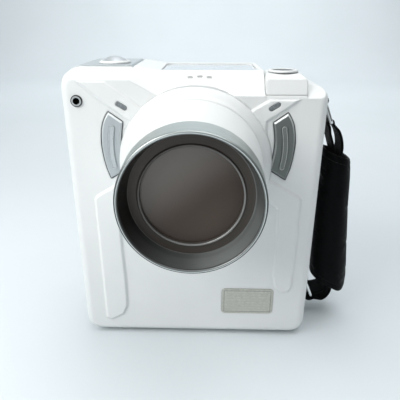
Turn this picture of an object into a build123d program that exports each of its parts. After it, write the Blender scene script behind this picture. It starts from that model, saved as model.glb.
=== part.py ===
from build123d import *
import math
import os

# Handheld intraoral x-ray unit, one STEP file per piece, all sizes in millimetres.
# The cone faces -Y, +Z is up and +X is the right side seen from the front. The origin is
# at the centre of the casing's underside, with the feet below it. "Depth" is measured
# backwards from the casing's front face, heights from its underside.

os.makedirs("parts", exist_ok=True)

# ---------------------------------------------------------------- casing sizes
BODY_W = 150.0          # casing width
BODY_D = 68.0           # casing depth
BODY_H = 176.2          # casing height at the trigger shoulder
FRONT_Y = -BODY_D / 2
FOOT_H = 2.4            # rubber feet below the casing
WALL = 2.5              # casing wall
LOWER_CORNER_R = 10.0
LEFT_CORNER_R = 11.0    # upper left corner of the casing
LEFT_CORNER = (-BODY_W / 2 + LEFT_CORNER_R, BODY_H - LEFT_CORNER_R)  # its centre (x, height)
SOCKET_DEPTH = 3.6      # blind socket in the underside, at the origin
SPLIT_D = 61.0          # depth of the parting line
SPLIT_GAP = 0.15        # each half stops this far from the parting line
SEAT_PLAY = 0.4         # a seat or opening is this much wider and taller than its part

DECK_Z = 173.8          # top deck with the display window
SHOULDER_Z = 167.5      # right shoulder
RAMP_X = (-34.0, -20.5)  # ramp from the trigger shoulder down to the deck
LEAN_X = (-80, -36, RAMP_X[1])  # section stations of the leaning front, from the left
TOWER_X = (39.6, 62.6)  # power tower, left and right side
TOWER_Z = 173.2         # top of the power tower
TOWER_D = 27.0          # depth at which the power tower ends
TOWER_SEAT_Z = 162.1

# Leaning top of the front: height at the front face, depth of the lean, height behind it
LEFT_LEAN = (170.1, 12.0, BODY_H)
DECK_LEAN = (161.7, 15.8, DECK_Z)
RIGHT_LEAN = (160.6, 7.0, SHOULDER_Z)

# ---------------------------------------------------------------- cone and beam
CONE_X = 0.5            # beam axis
CONE_Z = 122.0
BEAM_AT = (CONE_X, CONE_Z)
CONE_BASE_R = 39.2
CONE_TIP_R = 36.0
CONE_TIP_D = -47.5      # where the white cone ends and the metal ring starts
RING_R = 34.9
RING_D = -63.0          # rim of the metal ring
COLLAR_R = 44.6
WINDOW_R = 31.1
RETAINER_R = 25.3

# ---------------------------------------------------------------- controls and fittings
TRIGGER_X, TRIGGER_D = -48.3, 27.0
POWER_X, POWER_D = 50.6, 17.0
KEY_XS = {"key_mode": -27.0, "key_down": -9.0, "key_up": 9.0, "key_set": 27.0}
KEY_Z = 76.0
KEY_W, KEY_H = 13.0, 9.0
KEY_PLACES = [(x, KEY_Z) for x in KEY_XS.values()]

JACK_AT = (-65.8, 158.6)        # remote jack (x, height)
CHARGE_AT = (-48.0, 24.0)       # charging socket (x, height)
PLATE_AT = (35.15, 26.2)        # rating plate (x, height)
PLATE_W, PLATE_H = 34.1, 19.4
LENS_AT = (0, 120.0)            # lens over the rear display (x, height)
LENS_W, LENS_H = 81.8, 57.8
REAR_DISPLAY_AT = (0, 122.0)
TOP_WINDOW_AT = (8.2, 38.2)     # window on the deck (x, depth)
TOP_WINDOW_W, TOP_WINDOW_D = 56.2, 42.2
TOP_DISPLAY_AT = (7.6, 38.0)
MIRROR_X = 2.05                 # centre of the front relief pattern

# ---------------------------------------------------------------- tank, posts and screws
TANK_W, TANK_H = 71.0, 66.0
TANK_WALL = 2.5
TANK_SCREW_INSET = 4.5
TANK_SCREWS = [
    (CONE_X + sx * (TANK_W / 2 - TANK_SCREW_INSET), CONE_Z + sz * (TANK_H / 2 - TANK_SCREW_INSET))
    for sx in (-1, 1) for sz in (-1, 1)
]
TUBE_D = 31.5           # depth of the x-ray tube

CONE_SCREW_OFFSET = 42.6 * math.sin(math.radians(45))  # four screws on a 42.6 radius
CONE_SCREWS = [
    (CONE_X + sx * CONE_SCREW_OFFSET, CONE_Z + sz * CONE_SCREW_OFFSET)
    for sx in (-1, 1) for sz in (-1, 1)
]

# (x, height)
SCREW_POSTS = [(-66.5, 14.0), (66.5, 14.0), (-67.0, 88.0), (67.0, 88.0), (-67.0, 148.0), (67.0, 131.0)]
CHASSIS_POSTS = [(-57.0, 50.0), (57.0, 50.0), (-57.0, 143.0), (57.0, 143.0)]
MAIN_BOARD_HOLES = [(-48, 72), (48, 72), (-48, 144), (48, 144)]
DRIVER_STANDOFFS = [(-44, 53), (44, 53), (-44, 79), (44, 79)]
# (x, depth)
FOOT_PLACES = [(-50.5, 10.5), (52.5, 10.5), (-50.5, 55.0), (52.5, 55.0)]
BATTERY_POSTS = [(-50, 25), (50, 25)]
TRIGGER_BOARD_POSTS = [(-61.0, 18.5), (-61.0, 35.5)]
SOCKET_AT = (0, BODY_D / 2)

# ---------------------------------------------------------------- hand strap
LUG_D = 34.0            # depth of the strap lugs
LUG_X = 78.5            # lug pivot
LUG_Z = (28.0, 155.0)   # lower and upper pivot heights
LUG_SCREW_OFFSETS = (6.0, 11.4)  # from each pivot towards the middle of the casing
LUG_SCREWS = (
    [(LUG_D, LUG_Z[0] + step) for step in LUG_SCREW_OFFSETS]
    + [(LUG_D, LUG_Z[1] - step) for step in LUG_SCREW_OFFSETS]
)                       # (depth, height)
RING_OFFSET = (5.6, -13.6)  # outer bar of each D-ring relative to its pivot (x, z)
WIRE_R = 1.1
RING_HALF = 10.5        # half width of a D-ring, to the wire's centre
BAND_HALF = 8.0         # half width of the strap webbing
BARS = [(LUG_X + RING_OFFSET[0], z + RING_OFFSET[1]) for z in LUG_Z]
# Centre line of the webbing (x, height), from the upper bar to the lower one
WEBBING = [
    (86.0, 138.6), (89.0, 129.0), (91.2, 119.0), (92.2, 100.0), (93.0, 82.0), (94.2, 62.0),
    (95.6, 42.0), (96.6, 27.0), (95.2, 18.0), (91.4, 14.0), (87.4, 13.6),
]
# Strap pad sections: centre x, height, lean in degrees, half sizes in X-Z and across in Y
PAD_STATIONS = [
    (91.5, 120.8, 23.0, 8.7, 12.4), (92.8, 88.0, 4.0, 9.7, 13.4),
    (95.0, 50.0, 4.0, 11.0, 13.6), (97.0, 21.5, 24.0, 12.2, 12.8),
]

# ---------------------------------------------------------------- outlines
# Material above the stepped top (x, height)
TOP_STEPS = [
    (RAMP_X[0], BODY_H), (RAMP_X[1], DECK_Z), (TOWER_X[0], DECK_Z),
    (TOWER_X[0], TOWER_Z - 0.5), (TOWER_X[1], TOWER_Z - 0.5), (TOWER_X[1], SHOULDER_Z),
    (BODY_W / 2 + 5, SHOULDER_Z), (BODY_W / 2 + 5, 190.0), (RAMP_X[0], 190.0),
]
INNER_X = BODY_W / 2 - WALL
# Cavity seen from the front (x, height)
CAVITY_OUTLINE = [
    (-INNER_X, WALL), (INNER_X, WALL), (INNER_X, 160.5), (68.0, SHOULDER_Z - WALL),
    (TOWER_X[1], SHOULDER_Z - WALL), (TOWER_X[1], 159.6), (TOWER_X[0], 159.6),
    (TOWER_X[0] - WALL, DECK_Z - WALL), (RAMP_X[1], DECK_Z - WALL),
    (RAMP_X[0], BODY_H - WALL), (-64.0, BODY_H - WALL), (-INNER_X, 165.0),
]
# Raised relief on the front (x, height), clockwise from above the cone
RELIEF_OUTLINE = [
    (29.5, 153.1), (45.5, 162.7), (63.0, 162.7), (51.2, 153.8), (41.6, 147.5), (41.4, 131.0),
    # right leg
    (43.7, 114.1), (63.6, 102.1), (64.8, 100.0), (65.0, 72.9), (64.3, 38.0), (62.0, 34.0),
    (57.0, 33.2), (52.6, 37.6), (50.4, 46.9), (50.6, 68.4), (50.0, 94.0), (47.5, 96.5),
    # below the cone
    (30.0, 107.0), (-26.0, 107.0),
    # left leg
    (-43.6, 96.5), (-46.0, 94.0), (-45.6, 64.6), (-44.9, 45.3), (-44.8, 22.3), (-48.1, 14.3),
    (-57.3, 9.2), (-61.0, 11.0), (-61.2, 99.5), (-59.5, 102.1), (-39.6, 114.1),
    # upper left and above the cone
    (-37.3, 131.0), (-37.6, 147.3), (-48.9, 155.4), (-56.8, 161.9), (-68.5, 171.5),
    (-52.0, 171.5), (-43.6, 166.1), (-35.7, 160.4), (-26.6, 152.9), (-20.0, 148.0), (22.0, 148.0),
]
# Centre line of the right light bar (x, height)
LIGHT_BAR = [(50.9, 144.6), (52.0, 136.5), (52.1, 128.6), (51.0, 120.4)]
PANEL_CLIP_X = 51.0


# ---------------------------------------------------------------- planes and helpers
def face(depth):
    """Plane facing forwards at a depth: local x = X, local y = height."""
    return Plane(origin=(0, FRONT_Y + depth, 0), x_dir=(1, 0, 0), z_dir=(0, -1, 0))


def level(height):
    """Horizontal plane at a height: local x = X, local y = depth."""
    return Plane(origin=(0, FRONT_Y, height))


def side(x):
    """Plane facing +X: local x = depth, local y = height."""
    return Plane(origin=(x, FRONT_Y, 0), x_dir=(0, 1, 0), z_dir=(1, 0, 0))


def depth_turning(x, z):
    """Plane (radius, depth) and axis for turning about a front-to-back line at x, z."""
    origin = (x, FRONT_Y, z)
    return Plane(origin=origin, x_dir=(1, 0, 0), z_dir=(0, 0, 1)), Axis(origin, (0, 1, 0))


def upright_turning(x, depth):
    """Plane (radius, height) and axis for turning about an upright line."""
    origin = (x, FRONT_Y + depth, 0)
    return Plane(origin=origin, x_dir=(1, 0, 0), z_dir=(0, -1, 0)), Axis(origin, (0, 0, 1))


BEAM, BEAM_AXIS = depth_turning(CONE_X, CONE_Z)
TRIGGER_PLANE, TRIGGER_AXIS = upright_turning(TRIGGER_X, TRIGGER_D)


def wedge(front_z, depth, back_z, drop=0.0):
    """Section above a sloping line (depth, height), used to cut the leaning top."""
    slope = (back_z - front_z) / depth
    return [(-9, front_z - drop - 9 * slope), (depth + 9, back_z - drop + 9 * slope),
            (depth + 9, 200), (-9, 200)]


def lean_lofts(left_drop=0.0, deck_drop=0.0):
    """Section pairs (x, outline) of the two lofts that cut the left part of the lean."""
    left = wedge(*LEFT_LEAN, left_drop)
    deck = wedge(*DECK_LEAN, deck_drop)
    return [
        [(LEAN_X[0], left), (LEAN_X[1], left)],
        [(LEAN_X[1], left), (LEAN_X[2], deck)],
    ]


def mirrored(sign, x):
    """x on the right (sign 1) or reflected to the left (sign -1) of the relief's centre."""
    return MIRROR_X + sign * (x - MIRROR_X)


def pill_place(sign):
    """Place of the slanted indicator above a side panel."""
    return Location((mirrored(sign, 44.8), 156.2), sign * 31)


def light_bar_points(sign):
    return [(mirrored(sign, x), z) for x, z in LIGHT_BAR]


def draw_panel_outline(sign, grow):
    """Draw a side panel's outline, two bowed sides and two ends, in the open BuildLine."""
    outer = [(52.6 + 0.7 * grow, 152.6 + 1.2 * grow), (56.2 + grow, 146.0), (57.6 + grow, 137.2),
             (57.5 + grow, 130.4), (56.2 + grow, 121.2), (53.8 + 0.3 * grow, 113.1 - 1.2 * grow)]
    inner = [(43.9 - 1.1 * grow, 119.4 - 0.3 * grow), (45.7 - grow, 127.6), (46.3 - grow, 135.1),
             (45.6 - grow, 141.8), (44.7 - 1.1 * grow, 147.0 + 0.2 * grow)]
    outer = [(mirrored(sign, x), z) for x, z in outer]
    inner = [(mirrored(sign, x), z) for x, z in inner]
    outer_side = Spline(*outer)
    Line(outer_side @ 1, inner[0])
    inner_side = Spline(*inner)
    Line(inner_side @ 1, outer_side @ 0)


def draw_pad_outline(outer_r, inner_r, arc_angle, top_x, bottom_x):
    """Draw the band over the casing's upper left corner in the open BuildLine."""
    x, z = LEFT_CORNER
    end = math.radians(90 + arc_angle)
    top = Line((top_x, z + outer_r), (x, z + outer_r))
    outer_arc = CenterArc(LEFT_CORNER, outer_r, 90, arc_angle)
    Line(outer_arc @ 1, (x + inner_r * math.cos(end), z + inner_r * math.sin(end)))
    CenterArc(LEFT_CORNER, inner_r, 90, arc_angle)
    Line((x, z + inner_r), (bottom_x, z + inner_r))
    Line((bottom_x, z + inner_r), top @ 0)


def turned(turning, profile):
    """Solid of revolution; turning is a (plane, axis) pair."""
    plane, axis = turning
    with BuildPart() as piece:
        with BuildSketch(plane):
            Polygon(*profile, align=None)
        revolve(axis=axis)
    return piece.part


def discs(layers):
    """Round prisms; a layer is (plane, places, radius, amount)."""
    with BuildPart() as piece:
        for plane, places, radius, amount in layers:
            with BuildSketch(plane):
                with Locations(*places):
                    Circle(radius)
            extrude(amount=amount)
    return piece.part


def rounded_blocks(layers):
    """Prisms with rounded corners; a layer is (plane, centre, width, height, radius, amount)."""
    with BuildPart() as piece:
        for plane, centre, width, height, radius, amount in layers:
            with BuildSketch(plane):
                with Locations(centre):
                    RectangleRounded(width, height, radius)
            extrude(amount=amount)
    return piece.part


def save(name, part):
    part.label = name
    export_step(part, f"parts/{name}.step")


# ---------------------------------------------------------------- casing blank and cavity
def make_casing_blank():
    with BuildPart() as blank:
        with BuildSketch(face(0)):
            with Locations((0, BODY_H / 2)):
                Rectangle(BODY_W, BODY_H)
        extrude(amount=-BODY_D)
        fillet(blank.edges().filter_by(Axis.Y).group_by(Axis.Z)[0], LOWER_CORNER_R)
        upper_edges = blank.edges().filter_by(Axis.Y).sort_by(Axis.Z)[-2:]
        fillet(upper_edges.sort_by(Axis.X)[0], LEFT_CORNER_R)
        # the right shoulder is lower than the left one
        with BuildSketch(face(0)):
            Polygon((62.0, SHOULDER_Z), (80.0, SHOULDER_Z), (80.0, 190.0), (62.0, 190.0), align=None)
        extrude(amount=-BODY_D, mode=Mode.SUBTRACT)
        right_corner = blank.edges().filter_by(Axis.Y).filter_by(
            lambda e: abs(e.center().X - BODY_W / 2) < 0.1 and e.center().Z > 150)
        fillet(right_corner, 9.0)
        fillet(blank.faces().sort_by(Axis.Y)[0].edges(), 5.0)
        fillet(blank.faces().sort_by(Axis.Y)[-1].edges(), 6.0)
        # stepped top: trigger shoulder, ramp, deck, power tower seat
        with BuildSketch(face(-5)):
            Polygon(*TOP_STEPS, align=None)
        extrude(amount=-(BODY_D + 10), mode=Mode.SUBTRACT)
        # behind the power tower the top drops to the right shoulder
        with BuildSketch(level(SHOULDER_Z)):
            Polygon((TOWER_X[0], TOWER_D), (TOWER_X[1] + 1, TOWER_D),
                    (TOWER_X[1] + 1, BODY_D + 5), (TOWER_X[0], BODY_D + 5), align=None)
        extrude(amount=20, mode=Mode.SUBTRACT)
        # the front leans back above the face
        for sections in lean_lofts():
            for x, outline in sections:
                with BuildSketch(side(x)):
                    Polygon(*outline, align=None)
            loft(ruled=True, mode=Mode.SUBTRACT)
        # the same lean along the deck and right of the tower; the tower leans only a little
        tower_cut = [(-9, 160.6), (0, 160.6), (3.0, 170.5), (9.0, 172.4), (16.0, TOWER_Z),
                     (16.0, 200), (-9, 200)]
        for x, outline, width in (
            (RAMP_X[1], wedge(*DECK_LEAN), TOWER_X[0] - RAMP_X[1]),
            (TOWER_X[1], wedge(*RIGHT_LEAN), 30),
            (TOWER_X[0], tower_cut, TOWER_X[1] - TOWER_X[0]),
        ):
            with BuildSketch(side(x)):
                Polygon(*outline, align=None)
            extrude(amount=width, mode=Mode.SUBTRACT)
    return blank.part


def make_cavity():
    left_drop, deck_drop, right_drop = 3.0, 3.2, 3.6  # below the leaning outside
    with BuildPart() as cavity:
        with BuildSketch(face(WALL)):
            Polygon(*CAVITY_OUTLINE, align=None)
            fillet(vertices().group_by(Axis.Y)[0], LOWER_CORNER_R - WALL)
        extrude(amount=-(BODY_D - 2 * WALL))
        for sections in lean_lofts(left_drop, deck_drop):
            for x, outline in sections:
                with BuildSketch(side(x)):
                    Polygon(*outline, align=None)
            loft(ruled=True, mode=Mode.SUBTRACT)
        for x, outline, width in (
            (RAMP_X[1], wedge(*DECK_LEAN, deck_drop), TOWER_X[0] - RAMP_X[1]),
            (TOWER_X[0], wedge(*RIGHT_LEAN, right_drop), 50),
        ):
            with BuildSketch(side(x)):
                Polygon(*outline, align=None)
            extrude(amount=width, mode=Mode.SUBTRACT)
    return cavity.part


CASING_BLANK = make_casing_blank()
CAVITY = make_cavity()


# ---------------------------------------------------------------- front shell
def make_relief():
    with BuildPart() as relief:
        # rooted in the wall, then raised with sloping sides
        for amount, taper in ((-1.0, 0), (1.2, 50)):
            with BuildSketch(face(0)):
                Polygon(*RELIEF_OUTLINE, align=None)
            extrude(amount=amount, taper=taper)
        # the relief follows the leaning top
        for x, outline in ((-90, wedge(169.6, 12.0, 175.7)), (20, wedge(160.2, 15.8, 172.3))):
            with BuildSketch(side(x)):
                Polygon(*outline, align=None)
            extrude(amount=60, mode=Mode.SUBTRACT)
    return relief.part


def make_shell_body():
    """Front half of the hollow casing, with the relief, the collar and the cone's bore."""
    with BuildPart() as body:
        add(CASING_BLANK)
        add(make_relief())
        # collar round the cone
        with BuildSketch(BEAM):
            Polygon((38.0, 10.0), (38.0, -3.4), (40.6, -3.4), (COLLAR_R - 2.0, -2.6),
                    (COLLAR_R, 0.6), (COLLAR_R + 0.6, 10.0), align=None)
        revolve(axis=BEAM_AXIS)
        add(CAVITY, mode=Mode.SUBTRACT)
        # seat of the cone flange, then the bore for the cone
        with BuildSketch(BEAM):
            Polygon((38.0, 2.0), (COLLAR_R + 0.6, 2.0), (COLLAR_R + 0.6, 10.0), (38.0, 10.0), align=None)
        revolve(axis=BEAM_AXIS)
        with BuildSketch(BEAM):
            Polygon((0, -20.0), (39.9, -20.0), (39.9, 10.0), (45.5, 10.0), (45.5, 16.0),
                    (0, 16.0), align=None)
        revolve(axis=BEAM_AXIS, mode=Mode.SUBTRACT)
        # keep what lies in front of the parting line
        split(bisect_by=Plane(origin=(0, FRONT_Y + SPLIT_D - SPLIT_GAP, 0), z_dir=(0, 1, 0)),
              keep=Keep.BOTTOM)
    return body.part


def make_shell_with_posts():
    """Shell body with its inner posts, the stand's socket and the screw pilots."""
    # plane, places, radius, amount
    posts = [
        (face(2.0), SCREW_POSTS, 4.0, -(SPLIT_D - 10.2)),
        (face(2.0), CHASSIS_POSTS, 3.5, -(SPLIT_D - 10.2)),
        (face(50), SCREW_POSTS, 4.0, -(SPLIT_D - 50.2)),
        (level(2.0), BATTERY_POSTS, 4.0, 6.5),
        (level(156.05), TRIGGER_BOARD_POSTS, 2.2, 18.0),
        (level(2.0), [SOCKET_AT], 6.5, 2.9),
    ]
    holes = [
        (level(-1.0), [SOCKET_AT], 3.0, 1.0 + SOCKET_DEPTH),
        (face(SPLIT_D), SCREW_POSTS, 1.25, 14),
        (face(SPLIT_D - 6), CHASSIS_POSTS, 1.25, 12),
        (level(10), BATTERY_POSTS, 1.25, -6.5),
        (face(10.5), CONE_SCREWS, 1.05, 7.5),
    ]
    with BuildPart() as shell:
        add(make_shell_body())
        for rows, mode in ((posts, Mode.ADD), (holes, Mode.SUBTRACT)):
            for plane, places, radius, amount in rows:
                with BuildSketch(plane):
                    with Locations(*places):
                        Circle(radius)
                extrude(amount=amount, mode=mode)
    return shell.part


def front_shell():
    with BuildPart() as shell:
        add(make_shell_with_posts())
        for sign in (-1, 1):
            # seat of the curved side panel
            with BuildSketch(face(-5)):
                with BuildLine():
                    draw_panel_outline(sign, 0.35)
                make_face()
            extrude(amount=-6.3, mode=Mode.SUBTRACT)
            # seat of the indicator lens and the opening behind it
            for length, height, depth in ((7.1, 2.8, 6.2), (5.0, 1.6, 12)):
                with BuildSketch(face(-5)):
                    with Locations(pill_place(sign)):
                        SlotOverall(length, height)
                extrude(amount=-depth, mode=Mode.SUBTRACT)
            # window for the panel's clips
            with BuildSketch(face(0)):
                with Locations((mirrored(sign, PANEL_CLIP_X), 132.0)):
                    SlotOverall(14, 3.2, rotation=90)
            extrude(amount=-6, mode=Mode.SUBTRACT)
        # rating plate seat
        with BuildSketch(face(-3)):
            with Locations(PLATE_AT):
                RectangleRounded(PLATE_W + SEAT_PLAY, PLATE_H + SEAT_PLAY, 2.7)
        extrude(amount=-3.3, mode=Mode.SUBTRACT)
        # remote jack hole
        with BuildSketch(face(-3)):
            with Locations(JACK_AT):
                Circle(3.0)
        extrude(amount=-12, mode=Mode.SUBTRACT)
        # trigger pad seat over the left shoulder, and the trigger bore
        with BuildSketch(face(12.0)):
            with BuildLine():
                draw_pad_outline(14.0, 9.75, arc_angle=41, top_x=-36.0, bottom_x=-34.4)
            make_face()
        extrude(amount=-47.2, mode=Mode.SUBTRACT)
        with BuildSketch(level(160)):
            with Locations((TRIGGER_X, TRIGGER_D)):
                Circle(6.9)
        extrude(amount=20, mode=Mode.SUBTRACT)
        # top display: seat of the window, then the aperture
        with BuildSketch(level(172.1)):
            with Locations(TOP_WINDOW_AT):
                RectangleRounded(TOP_WINDOW_W + SEAT_PLAY, TOP_WINDOW_D + SEAT_PLAY, 4.0)
        extrude(amount=5, mode=Mode.SUBTRACT)
        with BuildSketch(level(168.0)):
            with Locations(TOP_DISPLAY_AT):
                RectangleRounded(46.0, 32.0, 2.0)
        extrude(amount=8, mode=Mode.SUBTRACT)
        # seat of the power tower with a lead-through for its switch wires
        with BuildSketch(face(-5)):
            Polygon((TOWER_X[0] - 0.1, TOWER_SEAT_Z), (TOWER_X[1] + 0.1, TOWER_SEAT_Z),
                    (TOWER_X[1] + 0.1, 190), (TOWER_X[0] - 0.1, 190), align=None)
        extrude(amount=-(5 + TOWER_D + 0.1), mode=Mode.SUBTRACT)
        with BuildSketch(level(155)):
            with Locations((POWER_X, 8.6)):
                Circle(1.8)
        extrude(amount=12, mode=Mode.SUBTRACT)
        # sounder slots on the leaning surface above the cone
        for slot_at in ((-2.5, 170.2), (2.9, 170.6), (8.3, 170.2)):
            with BuildSketch(face(-2)):
                with Locations(slot_at):
                    SlotOverall(3.1, 0.8)
            extrude(amount=-20, mode=Mode.SUBTRACT)
        # lug screw holes in the right wall
        with BuildSketch(side(60)):
            with Locations(*LUG_SCREWS):
                Circle(1.55)
        extrude(amount=20, mode=Mode.SUBTRACT)
    return shell.part


# ---------------------------------------------------------------- rear cover and feet
def rear_cover():
    with BuildPart() as cover:
        add(CASING_BLANK)
        add(CAVITY, mode=Mode.SUBTRACT)
        split(bisect_by=Plane(origin=(0, FRONT_Y + SPLIT_D + SPLIT_GAP, 0), z_dir=(0, 1, 0)),
              keep=Keep.TOP)
        with BuildSketch(face(SPLIT_D + SPLIT_GAP)):
            with Locations(*SCREW_POSTS):
                Circle(4.0)
        extrude(amount=-5.5)
        # screw clearance, screw head recesses, charging socket
        for depth, places, radius, amount in (
            (SPLIT_D, SCREW_POSTS, 1.6, -10),
            (64.5, SCREW_POSTS, 3.1, -6),
            (60, [CHARGE_AT], 5.0, -10),
        ):
            with BuildSketch(face(depth)):
                with Locations(*places):
                    Circle(radius)
            extrude(amount=amount, mode=Mode.SUBTRACT)
        # lens seat, display aperture, key openings, shallow grip recess
        for depth, places, width, height, radius, amount in (
            (66.4, [LENS_AT], LENS_W + SEAT_PLAY, LENS_H + SEAT_PLAY, 5.1, -4),
            (60, [REAR_DISPLAY_AT], 64.0, 42.0, 1.5, -10),
            (60, KEY_PLACES, KEY_W + SEAT_PLAY, KEY_H + SEAT_PLAY, 2.7, -10),
            (67.2, [(0, 43.0)], 88.0, 22.0, 9.0, -4),
        ):
            with BuildSketch(face(depth)):
                with Locations(*places):
                    RectangleRounded(width, height, radius)
            extrude(amount=amount, mode=Mode.SUBTRACT)
    return cover.part


def case_screws():
    """Screws that hold the rear cover, with hexagonal drives."""
    head_d = 64.5
    with BuildPart() as screws:
        for radius, amount in ((2.8, -2.2), (1.2, 14)):
            with BuildSketch(face(head_d)):
                with Locations(*SCREW_POSTS):
                    Circle(radius)
            extrude(amount=amount)
        with BuildSketch(face(66.8)):
            with Locations(*SCREW_POSTS):
                RegularPolygon(1.25, 6)
        extrude(amount=1.3, mode=Mode.SUBTRACT)
    return screws.part


def feet():
    with BuildPart() as pads:
        with BuildSketch(level(0)):
            with Locations(*FOOT_PLACES):
                Circle(6.4)
        extrude(amount=-FOOT_H)
        chamfer(pads.edges().group_by(Axis.Z)[0], 0.9)
    return pads.part


# ---------------------------------------------------------------- cone and its ring
def cone_housing():
    base_r = CONE_BASE_R + 0.5
    flange_r, flange_d = 45.2, 10.1
    with BuildPart() as cone:
        with BuildSketch(BEAM):
            Polygon((base_r, flange_d), (base_r, 2.0), (CONE_BASE_R + 0.2, -3.0),
                    (CONE_TIP_R, CONE_TIP_D), (33.7, CONE_TIP_D), (33.7, -41.8), (31.8, -41.8),
                    (36.4, 6.0), (36.4, 13.0), (flange_r, 13.0), (flange_r, flange_d), align=None)
        revolve(axis=BEAM_AXIS)
        with BuildSketch(face(9)):
            with Locations(*CONE_SCREWS):
                Circle(1.3)
        extrude(amount=-6, mode=Mode.SUBTRACT)
    return cone.part


def cone_ring():
    """Metal ring at the cone's tip, with a rounded rim."""
    shoulder_d = CONE_TIP_D - 0.05
    rim_start = (RING_R + 0.35, -61.6)
    rim_end = (RING_R - 1.5, -61.9)
    with BuildPart() as ring:
        with BuildSketch(BEAM):
            with BuildLine():
                Polyline((33.6, -42.0), (33.6, shoulder_d), (CONE_TIP_R + 0.1, shoulder_d), rim_start)
                ThreePointArc(rim_start, (RING_R - 0.5, RING_D), rim_end)
                Polyline(rim_end, (WINDOW_R, -50.8), (32.5, -50.8), (32.5, -42.0), (33.6, -42.0))
            make_face()
        revolve(axis=BEAM_AXIS)
    return ring.part


def window_retainer():
    """Flat ring in front of the window plate, with a rounded inner lip."""
    lip_d = -50.9
    lip_outer = (RETAINER_R + 1.2, lip_d)
    lip_inner = (RETAINER_R - 0.3, lip_d)
    with BuildPart() as retainer:
        with BuildSketch(BEAM):
            with BuildLine():
                Polyline((32.4, -49.5), (32.4, -50.7), (31.0, -50.7), lip_outer)
                ThreePointArc(lip_outer, (RETAINER_R + 0.5, -51.7), lip_inner)
                Polyline(lip_inner, (RETAINER_R - 0.3, -49.5), (32.4, -49.5))
            make_face()
        revolve(axis=BEAM_AXIS)
    return retainer.part


def window_plate():
    front_d, back_d, radius = -49.4, -47.9, 32.3
    return turned((BEAM, BEAM_AXIS), [(0, front_d), (radius, front_d), (radius, back_d), (0, back_d)])


# ---------------------------------------------------------------- front trim
def side_panel(sign):
    with BuildPart() as panel:
        with BuildSketch(face(1.2)):
            with BuildLine():
                draw_panel_outline(sign, 0.0)
            make_face()
        extrude(amount=2.4)
        chamfer(panel.faces().sort_by(Axis.Y)[0].edges(), 1.0)
        # slot for the light bar
        with BuildSketch(face(5)):
            with BuildLine():
                Spline(*light_bar_points(sign))
            trace(line_width=3.4)
        extrude(amount=12, mode=Mode.SUBTRACT)
        # two clips behind
        clip_x = mirrored(sign, PANEL_CLIP_X)
        with BuildSketch(face(1.2)):
            with Locations((clip_x, 137.4), (clip_x, 126.6)):
                Rectangle(2.4, 1.8)
        extrude(amount=-1.7)
    return panel.part


def light_bars():
    with BuildPart() as bars:
        for sign in (-1, 1):
            with BuildSketch(face(1.15)):
                with BuildLine():
                    Spline(*light_bar_points(sign))
                trace(line_width=3.2)
            extrude(amount=2.9)
    return bars.part


def indicator_lenses():
    with BuildPart() as lenses:
        with BuildSketch(face(1.1)):
            for sign in (-1, 1):
                with Locations(pill_place(sign)):
                    SlotOverall(6.8, 2.5)
        extrude(amount=2.35)
        chamfer(lenses.edges().group_by(Axis.Y)[0], 0.3)
    return lenses.part


def rating_plate():
    with BuildPart() as plate:
        with BuildSketch(face(0.25)):
            with Locations(PLATE_AT):
                RectangleRounded(PLATE_W, PLATE_H, 2.5)
        extrude(amount=0.6)
        chamfer(plate.faces().sort_by(Axis.Y)[0].edges(), 0.15)
    return plate.part


def jack_socket():
    # radius, depth
    return turned(depth_turning(*JACK_AT), [
        (1.8, -0.9), (2.9, -0.9), (3.35, -0.4), (3.35, -0.05), (2.9, -0.05), (2.9, 12.0),
        (0, 12.0), (0, 10.0), (1.8, 10.0),
    ])


# ---------------------------------------------------------------- trigger
def trigger_pad():
    with BuildPart() as pad:
        with BuildSketch(face(12.25)):
            with BuildLine():
                draw_pad_outline(11.6, 9.85, arc_angle=40, top_x=-36.6, bottom_x=-35.2)
            make_face()
        extrude(amount=-46.7)
        with BuildSketch(level(170)):
            with Locations((TRIGGER_X, TRIGGER_D)):
                Circle(8.0)
        extrude(amount=10, mode=Mode.SUBTRACT)
    return pad.part


def trigger_ring():
    # radius, height
    return turned((TRIGGER_PLANE, TRIGGER_AXIS), [
        (7.0, 175.05), (7.9, 175.05), (7.9, 176.9), (9.35, 176.9), (9.2, 177.6), (8.3, 178.3),
        (7.3, 178.3), (7.0, 177.8),
    ])


def trigger_button():
    """Domed button with a flange and a stem."""
    button_r, top_z, dome_h = 6.8, 180.9, 2.7
    stem_r, stem_z = 2.5, 166.0
    dome_r = (button_r ** 2 + dome_h ** 2) / (2 * dome_h)
    dome_start = math.degrees(math.acos(button_r / dome_r))
    with BuildPart() as button:
        with BuildSketch(TRIGGER_PLANE):
            with BuildLine():
                dome = CenterArc((0, top_z - dome_r), dome_r, dome_start, 90 - dome_start)
                Polyline((0, stem_z), (stem_r, stem_z), (stem_r, 172.3), (8.4, 172.3),
                         (8.4, 173.6), (button_r, 173.6), dome @ 0)
                Line(dome @ 1, (0, stem_z))
            make_face()
        revolve(axis=TRIGGER_AXIS)
    return button.part


def trigger_spring():
    with BuildPart() as spring:
        with BuildLine():
            coil = Helix(pitch=1.9, height=7.6, radius=4.2,
                         center=(TRIGGER_X, FRONT_Y + TRIGGER_D, 163.95))
        with BuildSketch(Plane(origin=coil @ 0, z_dir=coil % 0)):
            Circle(0.35)
        sweep(path=coil, is_frenet=True)
    return spring.part


def trigger_board():
    with BuildPart() as board:
        with BuildSketch(level(154.4)):
            with Locations((-51.5, TRIGGER_D)):
                RectangleRounded(25.0, 26.0, 1.5)
            with Locations(*TRIGGER_BOARD_POSTS):
                Circle(1.1, mode=Mode.SUBTRACT)
        extrude(amount=1.6)
    return board.part


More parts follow.
